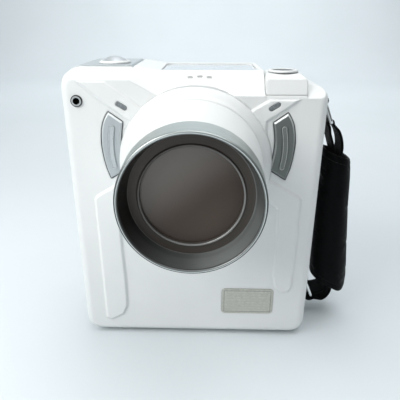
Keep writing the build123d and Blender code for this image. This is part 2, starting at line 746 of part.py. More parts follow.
# ---------------------------------------------------------------- power tower
def power_tower():
    base_z = TOWER_SEAT_Z + 0.1
    with BuildPart() as tower:
        with BuildSketch(side(TOWER_X[0] + 0.05)):
            Polygon((-0.1, base_z), (0.45, base_z), (3.0, 170.5), (9.0, 172.6), (16.0, TOWER_Z),
                    (TOWER_D, TOWER_Z), (TOWER_D, base_z), align=None)
            # triangle behind the lower leaning edge
            Polygon((0.45, base_z), (3.0, base_z), (3.0, 170.5), align=None)
        extrude(amount=TOWER_X[1] - TOWER_X[0] - 0.1)
        # round the long top edges at the left and right
        fillet(tower.edges().filter_by(
            lambda e: e.center().Z > 172.9 and abs(e.center().X - 51.1) > 10 and e.length > 6), 3.8)
        # hollow from below
        with BuildSketch(level(TOWER_SEAT_Z)):
            Polygon((42.0, 5.2), (60.2, 5.2), (60.2, TOWER_D - 2.2), (42.0, TOWER_D - 2.2), align=None)
        extrude(amount=8.0, mode=Mode.SUBTRACT)
        # recess for the button's flange, then the button bore
        for height, radius, amount in ((170.0, 8.6, 1.1), (165, 6.3, 12)):
            with BuildSketch(level(height)):
                with Locations((POWER_X, POWER_D)):
                    Circle(radius)
            extrude(amount=amount, mode=Mode.SUBTRACT)
    return tower.part


def power_ring():
    # radius, height
    return turned(upright_turning(POWER_X, POWER_D), [
        (6.45, TOWER_Z + 0.05), (8.75, TOWER_Z + 0.05), (8.6, TOWER_Z + 0.7),
        (7.9, TOWER_Z + 1.2), (6.9, TOWER_Z + 1.2), (6.45, TOWER_Z + 0.8),
    ])


def power_button():
    # radius, height
    return turned(upright_turning(POWER_X, POWER_D), [
        (0, 167.2), (1.5, 167.2), (1.5, 169.0), (7.4, 169.0), (7.4, 170.2), (6.15, 170.2),
        (6.15, 173.7), (5.7, 174.15), (3.0, 174.0), (0, 173.9),
    ])


# ---------------------------------------------------------------- top display and sounder
def top_window():
    with BuildPart() as window:
        with BuildSketch(level(172.15)):
            with Locations(TOP_WINDOW_AT):
                RectangleRounded(TOP_WINDOW_W, TOP_WINDOW_D, 3.8)
        extrude(amount=1.0)
        chamfer(window.faces().sort_by(Axis.Z)[-1].edges(), 0.25)
    return window.part


def top_display():
    return rounded_blocks([
        (level(168.6), TOP_DISPLAY_AT, 44.0, 30.0, 1.0, 3.3),
        (level(167.0), TOP_DISPLAY_AT, 44.0, 30.0, 1.0, 1.6),
    ])


def buzzer():
    centre = (2.9, 30.0)
    with BuildPart() as sounder:
        with BuildSketch(level(159.6)):
            with Locations(centre):
                Circle(6.0)
        extrude(amount=5.0)
        with BuildSketch(level(162)):
            with Locations(centre):
                Circle(1.2)
        extrude(amount=4.0, mode=Mode.SUBTRACT)
    return sounder.part


# ---------------------------------------------------------------- beam limiting parts
def beam_limiter():
    with BuildPart() as limiter:
        with BuildSketch(face(13.4)):
            with Locations(BEAM_AT):
                Circle(35.0)
                Circle(7.0, mode=Mode.SUBTRACT)
        extrude(amount=-1.5)
    return limiter.part


def beam_filter():
    return discs([(face(14.95), [BEAM_AT], 12.0, -1.0)])


# ---------------------------------------------------------------- monoblock tank
def tank_body():
    """Box open at the back, with corner blocks for the lid screws and a beam port."""
    inner_w, inner_h = TANK_W - 2 * TANK_WALL, TANK_H - 2 * TANK_WALL
    with BuildPart() as tank:
        with BuildSketch(face(16.0)):
            with Locations(BEAM_AT):
                RectangleRounded(TANK_W, TANK_H, 4.0)
        extrude(amount=-32.0)
        with BuildSketch(face(18.5)):
            with Locations(BEAM_AT):
                RectangleRounded(inner_w, inner_h, 2.0)
        extrude(amount=-32.0, mode=Mode.SUBTRACT)
        with BuildSketch(face(17.0)):
            with Locations(*TANK_SCREWS):
                Rectangle(8.0, 8.0)
        extrude(amount=-31.0)
        with BuildSketch(face(48.0)):
            with Locations(*TANK_SCREWS):
                Circle(1.25)
        extrude(amount=12.0, mode=Mode.SUBTRACT)
        with BuildSketch(face(15.0)):
            with Locations(BEAM_AT):
                Circle(11.0)
        extrude(amount=-6.0, mode=Mode.SUBTRACT)
    return tank.part


def port_window():
    return discs([(face(16.1), [BEAM_AT], 10.95, -2.3)])


def tank_gasket():
    with BuildPart() as gasket:
        with BuildSketch(face(48.02)):
            with Locations(BEAM_AT):
                RectangleRounded(TANK_W - 0.6, TANK_H - 0.6, 3.7)
                RectangleRounded(TANK_W - 2 * TANK_WALL, TANK_H - 2 * TANK_WALL, 2.0,
                                 mode=Mode.SUBTRACT)
            with Locations(*TANK_SCREWS):
                Circle(1.9, mode=Mode.SUBTRACT)
        extrude(amount=-0.75)
    return gasket.part


def tank_lid():
    with BuildPart() as lid:
        with BuildSketch(face(48.8)):
            with Locations(BEAM_AT):
                RectangleRounded(TANK_W, TANK_H, 4.0)
            with Locations(*TANK_SCREWS):
                Circle(1.6, mode=Mode.SUBTRACT)
        extrude(amount=-2.0)
    return lid.part


def lead_shield():
    """Jacket of the tube, open at both ends, with a hole for the beam."""
    with BuildPart() as shield:
        with BuildSketch(side(-24.0)):
            with Locations((TUBE_D, CONE_Z)):
                RectangleRounded(22.0, 30.0, 3.0)
                RectangleRounded(20.0, 28.0, 2.0, mode=Mode.SUBTRACT)
        extrude(amount=49.0)
        with BuildSketch(face(15)):
            with Locations(BEAM_AT):
                Circle(8.0)
        extrude(amount=-8, mode=Mode.SUBTRACT)
    return shield.part


def tube_envelope():
    """Thin envelope lying across the tank, open at both ends."""
    centre = (0, FRONT_Y + TUBE_D, CONE_Z)
    turning = (Plane(origin=centre, x_dir=(1, 0, 0), z_dir=(0, 0, 1)), Axis(centre, (1, 0, 0)))
    # x, radius: the outside, then back along the inside
    return turned(turning, [
        (-27.0, 4.0), (-24.5, 8.0), (-21.0, 9.3), (22.0, 9.3), (25.5, 8.0), (28.0, 4.0),
        (26.6, 3.2), (24.6, 6.9), (21.6, 8.2), (-20.6, 8.2), (-23.6, 6.9), (-25.6, 3.2),
    ])


def anode():
    with BuildPart() as target:
        for x, radius, amount in ((5.0, 6.2, 16.0), (20.0, 2.6, 9.5)):
            with BuildSketch(side(x)):
                with Locations((TUBE_D, CONE_Z)):
                    Circle(radius)
            extrude(amount=amount)
        # slanted end facing the cathode
        with BuildSketch(level(100)):
            Polygon((2.0, 24.0), (9.6, 24.0), (5.0, 39.0), (2.0, 39.0), align=None)
        extrude(amount=40, mode=Mode.SUBTRACT)
    return target.part


def cathode():
    with BuildPart() as cup:
        for x, radius, amount in ((-9.0, 5.4, -7.0), (-15.0, 2.6, -13.5)):
            with BuildSketch(side(x)):
                with Locations((TUBE_D, CONE_Z)):
                    Circle(radius)
            extrude(amount=amount)
        # slot in the end facing the anode
        with BuildSketch(side(-9.0)):
            with Locations((TUBE_D, CONE_Z)):
                SlotOverall(6.0, 2.0)
        extrude(amount=-2.5, mode=Mode.SUBTRACT)
    return cup.part


def hv_transformer():
    centre = (CONE_X, 98.4)
    with BuildPart() as transformer:
        # core with two windows
        with BuildSketch(face(22)):
            with Locations(centre):
                Rectangle(40.0, 13.0)
                with Locations((-9.0, 0), (9.0, 0)):
                    Rectangle(7.0, 7.0, mode=Mode.SUBTRACT)
        extrude(amount=-22)
        # winding
        with BuildSketch(face(25.5)):
            with Locations(centre):
                RectangleRounded(23.0, 6.6, 1.5)
        extrude(amount=-15)
    return transformer.part


def hv_multiplier():
    """A strip with a row of five rods standing on short blocks."""
    rod_xs = [CONE_X + 8.0 * i for i in range(-2, 3)]
    with BuildPart() as multiplier:
        with BuildSketch(face(21)):
            with Locations((CONE_X, 139.6)):
                Rectangle(44.0, 1.6)
            with Locations(*[(x, 143.6) for x in rod_xs]):
                Circle(3.3)
            with Locations(*[(x, 140.6) for x in rod_xs]):
                Rectangle(3.0, 1.6)
        extrude(amount=-24)
    return multiplier.part


def oil_bellows():
    # radius, depth
    return turned((BEAM, BEAM_AXIS), [
        (0, 43.2), (8.0, 43.2), (9.2, 43.9), (7.6, 44.6), (9.2, 45.3), (7.6, 46.0), (9.2, 46.7),
        (8.0, 47.6), (0, 47.6),
    ])


# ---------------------------------------------------------------- chassis and boards
def chassis():
    with BuildPart() as frame:
        with BuildSketch(face(52.85)):
            with Locations((0, 96.5)):
                RectangleRounded(122.0, 104.0, 5.0)
            with Locations((0, 62.0)):
                RectangleRounded(70.0, 16.0, 3.0, mode=Mode.SUBTRACT)
            with Locations(*CHASSIS_POSTS):
                Circle(1.6, mode=Mode.SUBTRACT)
            with Locations(*MAIN_BOARD_HOLES):
                Circle(1.25, mode=Mode.SUBTRACT)
        extrude(amount=-1.5)
        # two round pads between the tank lid and the plate
        with BuildSketch(face(50.9)):
            with Locations((CONE_X - 22, CONE_Z), (CONE_X + 22, CONE_Z)):
                Circle(5.0)
        extrude(amount=-2.0)
    return frame.part


def board_standoffs():
    with BuildPart() as standoffs:
        with BuildSketch(face(54.4)):
            with Locations(*MAIN_BOARD_HOLES):
                RegularPolygon(3.0, 6)
                Circle(1.25, mode=Mode.SUBTRACT)
        extrude(amount=-3.5)
        with BuildSketch(face(43.65)):
            with Locations(*DRIVER_STANDOFFS):
                RegularPolygon(2.8, 6)
        extrude(amount=-9.15)
    return standoffs.part


def main_board():
    # rectangular components behind the board: centre, width, height
    components = [((-44, 120), 10, 14), ((-44, 98), 8, 8), ((43, 124), 9, 16), ((0, 91), 30, 4.5)]
    with BuildPart() as board:
        with BuildSketch(face(57.95)):
            with Locations((0, 108)):
                RectangleRounded(106.0, 84.0, 2.0)
            with Locations(*MAIN_BOARD_HOLES):
                Circle(1.6, mode=Mode.SUBTRACT)
        extrude(amount=-1.6)
        with BuildSketch(face(59.5)):
            for centre, width, height in components:
                with Locations(centre):
                    Rectangle(width, height)
            with Locations((42, 96)):
                Circle(4.0)
        extrude(amount=-1.3)
    return board.part


def driver_board():
    with BuildPart() as board:
        with BuildSketch(face(42)):
            with Locations((0, 66)):
                RectangleRounded(100.0, 34.0, 2.0)
        extrude(amount=-1.6)
        # components in front of the board
        with BuildSketch(face(42.05)):
            with Locations((-32, 68)):
                Rectangle(20, 18)
            with Locations((0, 66), (20, 66)):
                Circle(8.0)
            with Locations((40, 66)):
                Rectangle(10, 22)
        extrude(amount=16)
    return board.part


def tact_switches():
    """Switches under the keys, the trigger and the power button."""
    # places, body plane, body size, corner radius, body amount, stem plane, radius, amount
    switches = [
        (KEY_PLACES, face(59.57), 6.0, 0.5, -2.0, face(61.5), 1.4, -0.7),
        ([(TRIGGER_X, TRIGGER_D)], level(156.1), 13, 1.0, 7.2, level(163.0), 1.6, 1.0),
        ([(POWER_X, POWER_D)], level(TOWER_SEAT_Z + 0.05), 9.0, 0.8, 3.2, level(165.0), 1.5, 1.1),
    ]
    with BuildPart() as piece:
        for places, base, size, corner_r, body_h, stem_base, stem_r, stem_h in switches:
            with BuildSketch(base):
                with Locations(*places):
                    RectangleRounded(size, size, corner_r)
            extrude(amount=body_h)
            with BuildSketch(stem_base):
                with Locations(*places):
                    Circle(stem_r)
            extrude(amount=stem_h)
    return piece.part


# ---------------------------------------------------------------- rear display and keys
def rear_display():
    return rounded_blocks([
        (face(61.2), REAR_DISPLAY_AT, 68.0, 46.0, 1.0, -4.1),
        (face(65.2), REAR_DISPLAY_AT, 62.0, 40.0, 1.0, -1.0),
    ])


def rear_lens():
    with BuildPart() as lens:
        with BuildSketch(face(66.45)):
            with Locations(LENS_AT):
                RectangleRounded(LENS_W, LENS_H, 5.0)
        extrude(amount=-1.6)
        chamfer(lens.faces().sort_by(Axis.Y)[-1].edges(), 0.3)
    return lens.part


def rear_key(x):
    """Key cap on a wider flange, with a round stub in front that meets its switch."""
    with BuildPart() as key:
        with BuildSketch(face(63.9)):
            with Locations((x, KEY_Z)):
                RectangleRounded(KEY_W + 2, KEY_H + 2, 3.0)
        extrude(amount=-1.3)
        with BuildSketch(face(64.9)):
            with Locations((x, KEY_Z)):
                RectangleRounded(KEY_W, KEY_H, 2.5)
        extrude(amount=-4.6)
        fillet(key.faces().sort_by(Axis.Y)[-1].edges(), 0.9)
        with BuildSketch(face(63.15)):
            with Locations((x, KEY_Z)):
                Circle(1.6)
        extrude(amount=-1.0)
    return key.part


# ---------------------------------------------------------------- battery
def battery_pack():
    """Four cells lying across the casing, joined by a cross-shaped filling."""
    with BuildPart() as pack:
        with BuildSketch(side(-37.0)):
            with Locations((16.0, 14.5), (35.0, 14.5), (16.0, 33.5), (35.0, 33.5)):
                Circle(9.4)
            with Locations((25.5, 24.0)):
                Rectangle(19.0, 37.0)
                Rectangle(37.0, 19.0)
        extrude(amount=74.0)
    return pack.part


def battery_bracket():
    """Sheet strap over the battery, with a screwed foot on each side."""
    foot_x, leg_x, foot_z, top_z = 55.0, 41.0, 9.4, 44.2
    with BuildPart() as bracket:
        with BuildSketch(face(17.0)):
            with BuildLine():
                Polyline((-foot_x, foot_z), (-leg_x, foot_z), (-leg_x, top_z), (leg_x, top_z),
                         (leg_x, foot_z), (foot_x, foot_z))
                offset(amount=0.75, side=Side.BOTH)
            make_face()
        extrude(amount=-16.0)
        with BuildSketch(level(8)):
            with Locations(*BATTERY_POSTS):
                Circle(1.6)
        extrude(amount=3, mode=Mode.SUBTRACT)
    return bracket.part


def charge_socket():
    # radius, depth
    return turned(depth_turning(*CHARGE_AT), [
        (2.8, 69.0), (5.6, 69.0), (6.4, 68.5), (6.4, 68.05), (4.95, 68.05), (4.95, 57.0),
        (0, 57.0), (0, 61.5), (2.8, 61.5),
    ])


# ---------------------------------------------------------------- hand strap
def strap_lugs():
    with BuildPart() as lugs:
        with BuildSketch(face(LUG_D + 8.0)):
            # screwed plate, neck and barrel; each plate reaches towards the middle
            for lug_z, reach in zip(LUG_Z, (5.6, -5.6)):
                with Locations((75.8, lug_z + reach)):
                    Rectangle(1.5, 17.4)
                with Locations((77.0, lug_z)):
                    Rectangle(3.0, 5.0)
                with Locations((LUG_X, lug_z)):
                    Circle(2.9)
            for lug_z in LUG_Z:
                with Locations((LUG_X, lug_z)):
                    Circle(WIRE_R + 0.08, mode=Mode.SUBTRACT)
        extrude(amount=16.0)
        with BuildSketch(side(74)):
            with Locations(*LUG_SCREWS):
                Circle(1.6)
        extrude(amount=6, mode=Mode.SUBTRACT)
    return lugs.part


def d_ring(lug_z):
    """Wire ring: one bar runs through the lug, the outer bar carries the webbing."""
    front_y = FRONT_Y + LUG_D - RING_HALF
    back_y = FRONT_Y + LUG_D + RING_HALF
    bar_x, bar_z = LUG_X + RING_OFFSET[0], lug_z + RING_OFFSET[1]
    with BuildPart() as ring:
        with BuildLine() as wire:
            FilletPolyline(
                Vector(LUG_X, front_y, lug_z), Vector(LUG_X, back_y, lug_z),
                Vector(bar_x, back_y, bar_z), Vector(bar_x, front_y, bar_z),
                radius=2.4, close=True)
        with BuildSketch(Plane(origin=wire.line @ 0, z_dir=wire.line % 0)):
            Circle(WIRE_R)
        sweep(path=wire.line)
    return ring.part


def lug_screws():
    return discs([
        (side(76.57), LUG_SCREWS, 2.6, 1.1),
        (side(76.6), LUG_SCREWS, 1.45, -7.0),
    ])


def strap_webbing():
    """Band from bar to bar, with an eye round each bar."""
    with BuildPart() as webbing:
        with BuildSketch(face(LUG_D - BAND_HALF)):
            with BuildLine():
                Spline(*WEBBING)
            trace(line_width=3.6)
            with Locations(*reversed(BARS)):
                Circle(3.6)
            with Locations(*reversed(BARS)):
                Circle(WIRE_R + 0.25, mode=Mode.SUBTRACT)
        extrude(amount=-2 * BAND_HALF)
    return webbing.part


def strap_pad():
    """Padded sleeve round the webbing, with a slot through it."""
    slot_half = BAND_HALF + 1.0
    with BuildPart() as pad:
        for x, z, lean, half_along, half_across in PAD_STATIONS:
            cosine, sine = math.cos(math.radians(lean)), math.sin(math.radians(lean))
            with BuildSketch(Plane(origin=(x, FRONT_Y + LUG_D, z), x_dir=(cosine, 0, -sine),
                                   z_dir=(sine, 0, cosine))):
                Ellipse(half_along, half_across)
        loft()
        with BuildSketch(face(LUG_D - slot_half)):
            with BuildLine():
                Spline(*WEBBING)
            trace(line_width=5.0)
        extrude(amount=-2 * slot_half, mode=Mode.SUBTRACT)
    return pad.part


# ---------------------------------------------------------------- inner fasteners
def inner_screws():
    # a head and a shank for each group
    return discs([
        # cone
        (face(13.05), CONE_SCREWS, 2.2, -1.9),
        (face(13.05), CONE_SCREWS, 1.0, 9.5),
        # tank lid
        (face(50.82), TANK_SCREWS, 2.7, -1.8),
        (face(50.9), TANK_SCREWS, 1.2, 12.0),
        # chassis
        (face(54.37), CHASSIS_POSTS, 2.7, -1.8),
        (face(54.45), CHASSIS_POSTS, 1.2, 10.0),
        # main board
        (face(59.6), MAIN_BOARD_HOLES, 2.6, -1.7),
        (face(59.7), MAIN_BOARD_HOLES, 1.2, 6.5),
        # battery bracket
        (level(10.2), BATTERY_POSTS, 2.7, 1.9),
        (level(10.3), BATTERY_POSTS, 1.2, -6.0),
    ])


def hex_nuts():
    """Nuts of the strap lugs and of the remote jack."""
    with BuildPart() as nuts:
        # plane, places, hexagon radius, hole radius, amount
        for plane, places, nut_r, hole_r, amount in (
            (side(72.45), LUG_SCREWS, 2.9, 1.5, -2.2),
            (face(3.2), [JACK_AT], 4.4, 2.95, -2.0),
        ):
            with BuildSketch(plane):
                with Locations(*places):
                    RegularPolygon(nut_r, 6)
                    Circle(hole_r, mode=Mode.SUBTRACT)
            extrude(amount=amount)
    return nuts.part


# ---------------------------------------------------------------- build and export
# Each of these functions is named after its piece.
for make in (
    front_shell, rear_cover, case_screws, feet,
    cone_housing, cone_ring, window_retainer, window_plate,
    light_bars, indicator_lenses, rating_plate, jack_socket,
    trigger_pad, trigger_ring, trigger_button, trigger_spring, trigger_board,
    power_tower, power_ring, power_button, top_window, top_display, buzzer,
    beam_limiter, beam_filter, tank_body, port_window, tank_gasket, tank_lid,
    lead_shield, tube_envelope, anode, cathode, hv_transformer, hv_multiplier, oil_bellows,
    chassis, board_standoffs, main_board, driver_board, tact_switches,
    rear_display, rear_lens, battery_pack, battery_bracket, charge_socket,
    strap_lugs, lug_screws, strap_webbing, strap_pad, inner_screws, hex_nuts,
):
    save(make.__name__, make())

for side_name, sign in (("left", -1), ("right", 1)):
    save("side_panel_" + side_name, side_panel(sign))
for key_name, key_x in KEY_XS.items():
    save(key_name, rear_key(key_x))
for tag, lug_z in zip(("lower", "upper"), LUG_Z):
    save("d_ring_" + tag, d_ring(lug_z))
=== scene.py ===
"""A handheld instrument with a front cone, a rear display with keys, and a hand strap.

It stands on a studio floor. +Z is up, the front faces -Y, the rear display faces +Y and the
strap hangs on the +X side. Blender works in metres; measured shapes are in millimetres and
are multiplied by MM. Points of the strap and the front trims are (x, z) unless noted.
"""

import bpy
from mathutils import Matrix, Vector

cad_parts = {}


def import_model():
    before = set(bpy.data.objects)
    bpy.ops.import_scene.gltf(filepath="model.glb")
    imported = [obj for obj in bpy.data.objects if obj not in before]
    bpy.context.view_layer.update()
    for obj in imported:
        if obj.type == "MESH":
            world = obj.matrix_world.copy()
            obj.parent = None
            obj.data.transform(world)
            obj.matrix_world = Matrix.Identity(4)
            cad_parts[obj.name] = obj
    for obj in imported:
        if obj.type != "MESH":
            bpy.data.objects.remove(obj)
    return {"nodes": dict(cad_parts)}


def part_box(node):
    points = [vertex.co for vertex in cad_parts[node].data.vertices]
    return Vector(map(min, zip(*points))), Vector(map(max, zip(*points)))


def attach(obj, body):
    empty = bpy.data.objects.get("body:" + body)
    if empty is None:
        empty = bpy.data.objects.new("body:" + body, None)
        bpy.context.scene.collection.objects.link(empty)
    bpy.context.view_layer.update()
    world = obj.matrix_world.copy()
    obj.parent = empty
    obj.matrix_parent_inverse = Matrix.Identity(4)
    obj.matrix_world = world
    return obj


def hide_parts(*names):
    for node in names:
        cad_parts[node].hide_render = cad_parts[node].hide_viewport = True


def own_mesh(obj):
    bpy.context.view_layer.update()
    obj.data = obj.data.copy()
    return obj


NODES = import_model()["nodes"]

import math

import bmesh
import bpy
import numpy as np
from mathutils import Matrix, Vector

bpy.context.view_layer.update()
MM = 0.001
BEAM = (0.0005, 0.0, 0.122)              # a point on the cone's axis, which runs along Y, in metres
FRONT = -34.0                            # y of the casing's front, mm


# ------------------------------------------------------------------ material builder
class Look:
    """A procedural material. Textures are placed by the object's own coordinates, in metres."""

    SOCKETS = {
        "color": "Base Color", "rough": "Roughness", "metal": "Metallic", "normal": "Normal",
        "coat": "Coat Weight", "coat_rough": "Coat Roughness", "sheen": "Sheen Weight",
        "sheen_rough": "Sheen Roughness", "ior": "IOR", "glass": "Transmission Weight",
        "spec": "Specular IOR Level",
    }

    def __init__(self, name):
        self.material = bpy.data.materials.new(name)
        self.material.use_nodes = True
        self.tree = self.material.node_tree
        self.tree.nodes.clear()
        output = self.new("ShaderNodeOutputMaterial")
        self.shader = self.new("ShaderNodeBsdfPrincipled")
        self.link(self.shader.outputs["BSDF"], output.inputs["Surface"])
        self.coord = self.new("ShaderNodeTexCoord").outputs["Object"]

    def new(self, kind, **settings):
        node = self.tree.nodes.new(kind)
        for key, value in settings.items():
            setattr(node, key, value)
        return node

    def link(self, value, socket):
        """Links a socket, or sets a plain value; a colour may leave out its alpha."""
        if isinstance(value, bpy.types.NodeSocket):
            self.tree.links.new(value, socket)
        elif hasattr(value, "__len__") and socket.type == "RGBA" and len(value) == 3:
            socket.default_value = (*value, 1.0)
        else:
            socket.default_value = value

    def put(self, **values):
        """Feeds the surface shader."""
        for key, value in values.items():
            self.link(value, self.shader.inputs[self.SOCKETS[key]])

    # vectors
    def vector(self, operation, a, b=None):
        node = self.new("ShaderNodeVectorMath", operation=operation)
        self.link(a, node.inputs[0])
        if b is not None:
            self.link(b, node.inputs[1])
        return node.outputs["Value" if operation == "DOT_PRODUCT" else "Vector"]

    def stretch(self, x, y, z):
        return self.vector("MULTIPLY", self.coord, (x, y, z))

    def shift(self, x, y, z):
        return self.vector("SUBTRACT", self.coord, (x, y, z))

    def xyz(self, source=None):
        node = self.new("ShaderNodeSeparateXYZ")
        self.link(source or self.coord, node.inputs[0])
        return node.outputs

    def join(self, x, y, z):
        node = self.new("ShaderNodeCombineXYZ")
        for socket, value in zip(node.inputs, (x, y, z)):
            self.link(value, socket)
        return node.outputs[0]

    def turned(self, centre, axis="Y"):
        """(radius, along) about an axis through a point."""
        x, y, z = self.xyz(self.shift(*centre))
        across, along = (z, y) if axis == "Y" else (y, z)
        squares = self.add(self.times(x, x), self.times(across, across))
        return self.calc("SQRT", squares), along

    # textures
    def noise(self, scale, detail=2.0, rough=0.5, warp=0.0, at=None):
        node = self.new("ShaderNodeTexNoise")
        self.link(at or self.coord, node.inputs["Vector"])
        node.inputs["Scale"].default_value = scale
        node.inputs["Detail"].default_value = detail
        node.inputs["Roughness"].default_value = rough
        node.inputs["Distortion"].default_value = warp
        return node.outputs[0]

    def cells(self, scale, feature="F1", at=None):
        node = self.new("ShaderNodeTexVoronoi", feature=feature)
        self.link(at or self.coord, node.inputs["Vector"])
        node.inputs["Scale"].default_value = scale
        return node.outputs["Distance"]

    # numbers
    def calc(self, operation, a, b=0.0):
        node = self.new("ShaderNodeMath", operation=operation)
        for socket, value in zip(node.inputs, (a, b, 0.0)):
            self.link(value, socket)
        return node.outputs[0]

    def add(self, a, b):
        return self.calc("ADD", a, b)

    def minus(self, a, b):
        return self.calc("SUBTRACT", a, b)

    def times(self, a, b):
        return self.calc("MULTIPLY", a, b)

    def larger(self, a, b):
        return self.calc("MAXIMUM", a, b)

    def size(self, a):
        return self.calc("ABSOLUTE", a)

    def ramp(self, value, span=(0.3, 0.7), to=(0.0, 1.0), smooth=False):
        """Maps the range span onto the range to; the defaults suit a noise."""
        kind = "SMOOTHSTEP" if smooth else "LINEAR"
        node = self.new("ShaderNodeMapRange", interpolation_type=kind)
        self.link(value, node.inputs[0])
        for index, limit in enumerate((*span, *to), 1):
            node.inputs[index].default_value = limit
        return node.outputs[0]

    def line(self, value, at, fade):
        """1 where value is at a level, fading to 0 over a range of distances from it."""
        return self.ramp(self.size(self.minus(value, at)), span=fade, to=(1.0, 0.0))

    def beyond(self, a, b, half_a, half_b):
        """Distance outside a centred rectangle, negative inside it."""
        return self.larger(self.minus(self.size(a), half_a), self.minus(self.size(b), half_b))

    # colour
    def mix(self, amount, a, b):
        node = self.new("ShaderNodeMix", data_type="RGBA", blend_type="MIX")
        for index, value in ((0, amount), (6, a), (7, b)):
            self.link(value, node.inputs[index])
        return node.outputs[2]

    def tones(self, noise, low, high):
        return self.mix(self.ramp(noise), low, high)

    # surface
    def soft_edges(self, radius, samples=6):
        node = self.new("ShaderNodeBevel", samples=samples)
        node.inputs["Radius"].default_value = radius
        return node.outputs[0]

    def bump(self, height, strength, depth, edge=None, over=None):
        """Relief over another normal, or over edges softened to a radius."""
        node = self.new("ShaderNodeBump")
        node.inputs["Strength"].default_value = strength
        node.inputs["Distance"].default_value = depth
        self.link(height, node.inputs["Height"])
        if edge is not None:
            over = self.soft_edges(edge)
        if over is not None:
            self.link(over, node.inputs["Normal"])
        return node.outputs[0]

    def crevice(self, distance):
        """1 in the open, falling towards 0 in gaps and inner corners."""
        node = self.new("ShaderNodeAmbientOcclusion", samples=6)
        node.inputs["Distance"].default_value = distance
        return node.outputs["AO"]

    def worn_edge(self, radius=0.0004):
        """0 on flat faces, rising at outer corners where the soft and true normals part."""
        normal = self.new("ShaderNodeNewGeometry").outputs["Normal"]
        match = self.vector("DOT_PRODUCT", self.soft_edges(radius, samples=4), normal)
        return self.ramp(match, span=(0.995, 0.85))


LOOKS = {}


def material(paint):
    """Decorator: builds the material named after the function and keeps it in LOOKS."""
    look = Look(paint.__name__)
    paint(look)
    LOOKS[paint.__name__] = look.material
    return paint


def shade(color, factor):
    return tuple(min(1.0, c * factor) for c in color)


# ------------------------------------------------------------------ families of finish
def moulded(look, low, high, grain, depth, rough=(0.34, 0.46), edge=0.0008, coat=0.12,
            gap=0.35, reach=0.0022):
    """Moulded plastic: fine spark grain, faint flow marks, soft edges and painted shade in gaps and
    inner corners.
    """
    flow = look.noise(scale=16.0, detail=3.0, rough=0.55, warp=0.4)
    speck = look.noise(scale=grain, rough=0.6)
    dust = look.noise(scale=420.0, detail=4.0, rough=0.7)
    dusty = look.ramp(dust, span=(0.62, 0.8), to=(0.0, 0.10))
    color = look.mix(dusty, look.tones(flow, low, high), shade(low, 0.72))
    # painted shade: darker colour in gaps and inner corners, by ambient occlusion
    painted_gap_shade = look.ramp(look.crevice(reach), span=(0.25, 0.85), to=(gap, 0.0))
    grained = look.bump(speck, strength=0.32, depth=depth, edge=edge)
    look.put(
        color=look.mix(painted_gap_shade, color, shade(low, 0.10)),
        rough=look.add(look.ramp(flow, to=rough), look.ramp(speck, to=(-0.03, 0.03))),
        normal=look.bump(flow, strength=0.05, depth=0.0012, over=grained),
        coat=coat, coat_rough=0.22, spec=0.5,
    )


def lathe(look, centre, axis="Y"):
    """(radius, along, ring coordinates, fine ring noise) about a turning axis."""
    radius, along = look.turned(centre, axis)
    rings = look.join(radius, along, 0.0)
    return radius, along, rings, look.noise(at=rings, scale=5200.0, rough=0.6)


def ring_tone(look, rings, fine):
    """Fine rings with broader tone bands under them."""
    bands = look.noise(at=rings, scale=260.0, detail=3.0, rough=0.55)
    return look.add(look.ramp(fine, to=(0.0, 0.35)), look.ramp(bands, to=(0.0, 0.65)))


def turned_metal(look, base, dark, rough, centre, lines, metal):
    """Turned about Z: rings, slight tone bands, bright worn rims."""
    _, _, rings, fine = lathe(look, centre, axis="Z")
    color = look.mix(ring_tone(look, rings, fine), dark, base)
    smear = look.noise(scale=60.0, detail=3.0, rough=0.6)
    smeared = look.ramp(smear, span=(0.4, 0.7), to=(0.0, 0.06))
    look.put(
        color=look.mix(look.times(look.worn_edge(), 0.6), color, shade(base, 1.25)),
        metal=metal,
        rough=look.add(look.ramp(fine, to=rough), smeared),
        normal=look.bump(fine, strength=lines, depth=0.00008, edge=0.00035),
    )


def brushed(look, base, dark, rough, along=(1, 1, 0.03), scale=3200.0, edge=0.0004,
            strength=0.12, metal=1.0, coat=0.0):
    """Brushed or blasted metal and metallic paint: fine streaks, clouding, worn edges."""
    streak = look.noise(at=look.stretch(*along), scale=scale, detail=3.0, rough=0.65)
    cloud = look.noise(scale=70.0, detail=3.0, rough=0.6)
    clouded = look.ramp(cloud, span=(0.35, 0.75), to=(0.0, 0.25))
    color = look.mix(clouded, look.tones(streak, dark, base), shade(dark, 0.8))
    look.put(
        color=look.mix(look.times(look.worn_edge(), 0.5), color, shade(base, 1.35)),
        metal=metal,
        rough=look.ramp(streak, to=rough),
        normal=look.bump(streak, strength=strength, depth=0.00006, edge=edge),
        coat=coat, coat_rough=0.15,
    )


def right_side_shade(look):
    """0 where x is negative, 1 beyond x = 30 mm: where painted shade darkens the right-hand trims.
    """
    return look.ramp(look.xyz()[0], span=(0.0, 0.03))


# ------------------------------------------------------------------ casing materials
@material
def white_shell(look):
    moulded(look, low=(0.755, 0.772, 0.765), high=(0.80, 0.812, 0.806), grain=2600.0,
            depth=0.00005, edge=0.0013, gap=0.16, reach=0.0014)


@material
def rear_white(look):
    moulded(look, low=(0.70, 0.72, 0.715), high=(0.76, 0.78, 0.775), grain=1700.0,
            depth=0.00009, rough=(0.42, 0.56), coat=0.04)


@material
def foot_rubber(look):
    grain = look.noise(scale=2200.0, detail=3.0, rough=0.7)
    look.put(
        color=look.tones(grain, (0.40, 0.42, 0.43), (0.50, 0.52, 0.53)),
        rough=0.85, spec=0.3, sheen=0.15,
        normal=look.bump(grain, strength=0.5, depth=0.0001, edge=0.0005),
    )


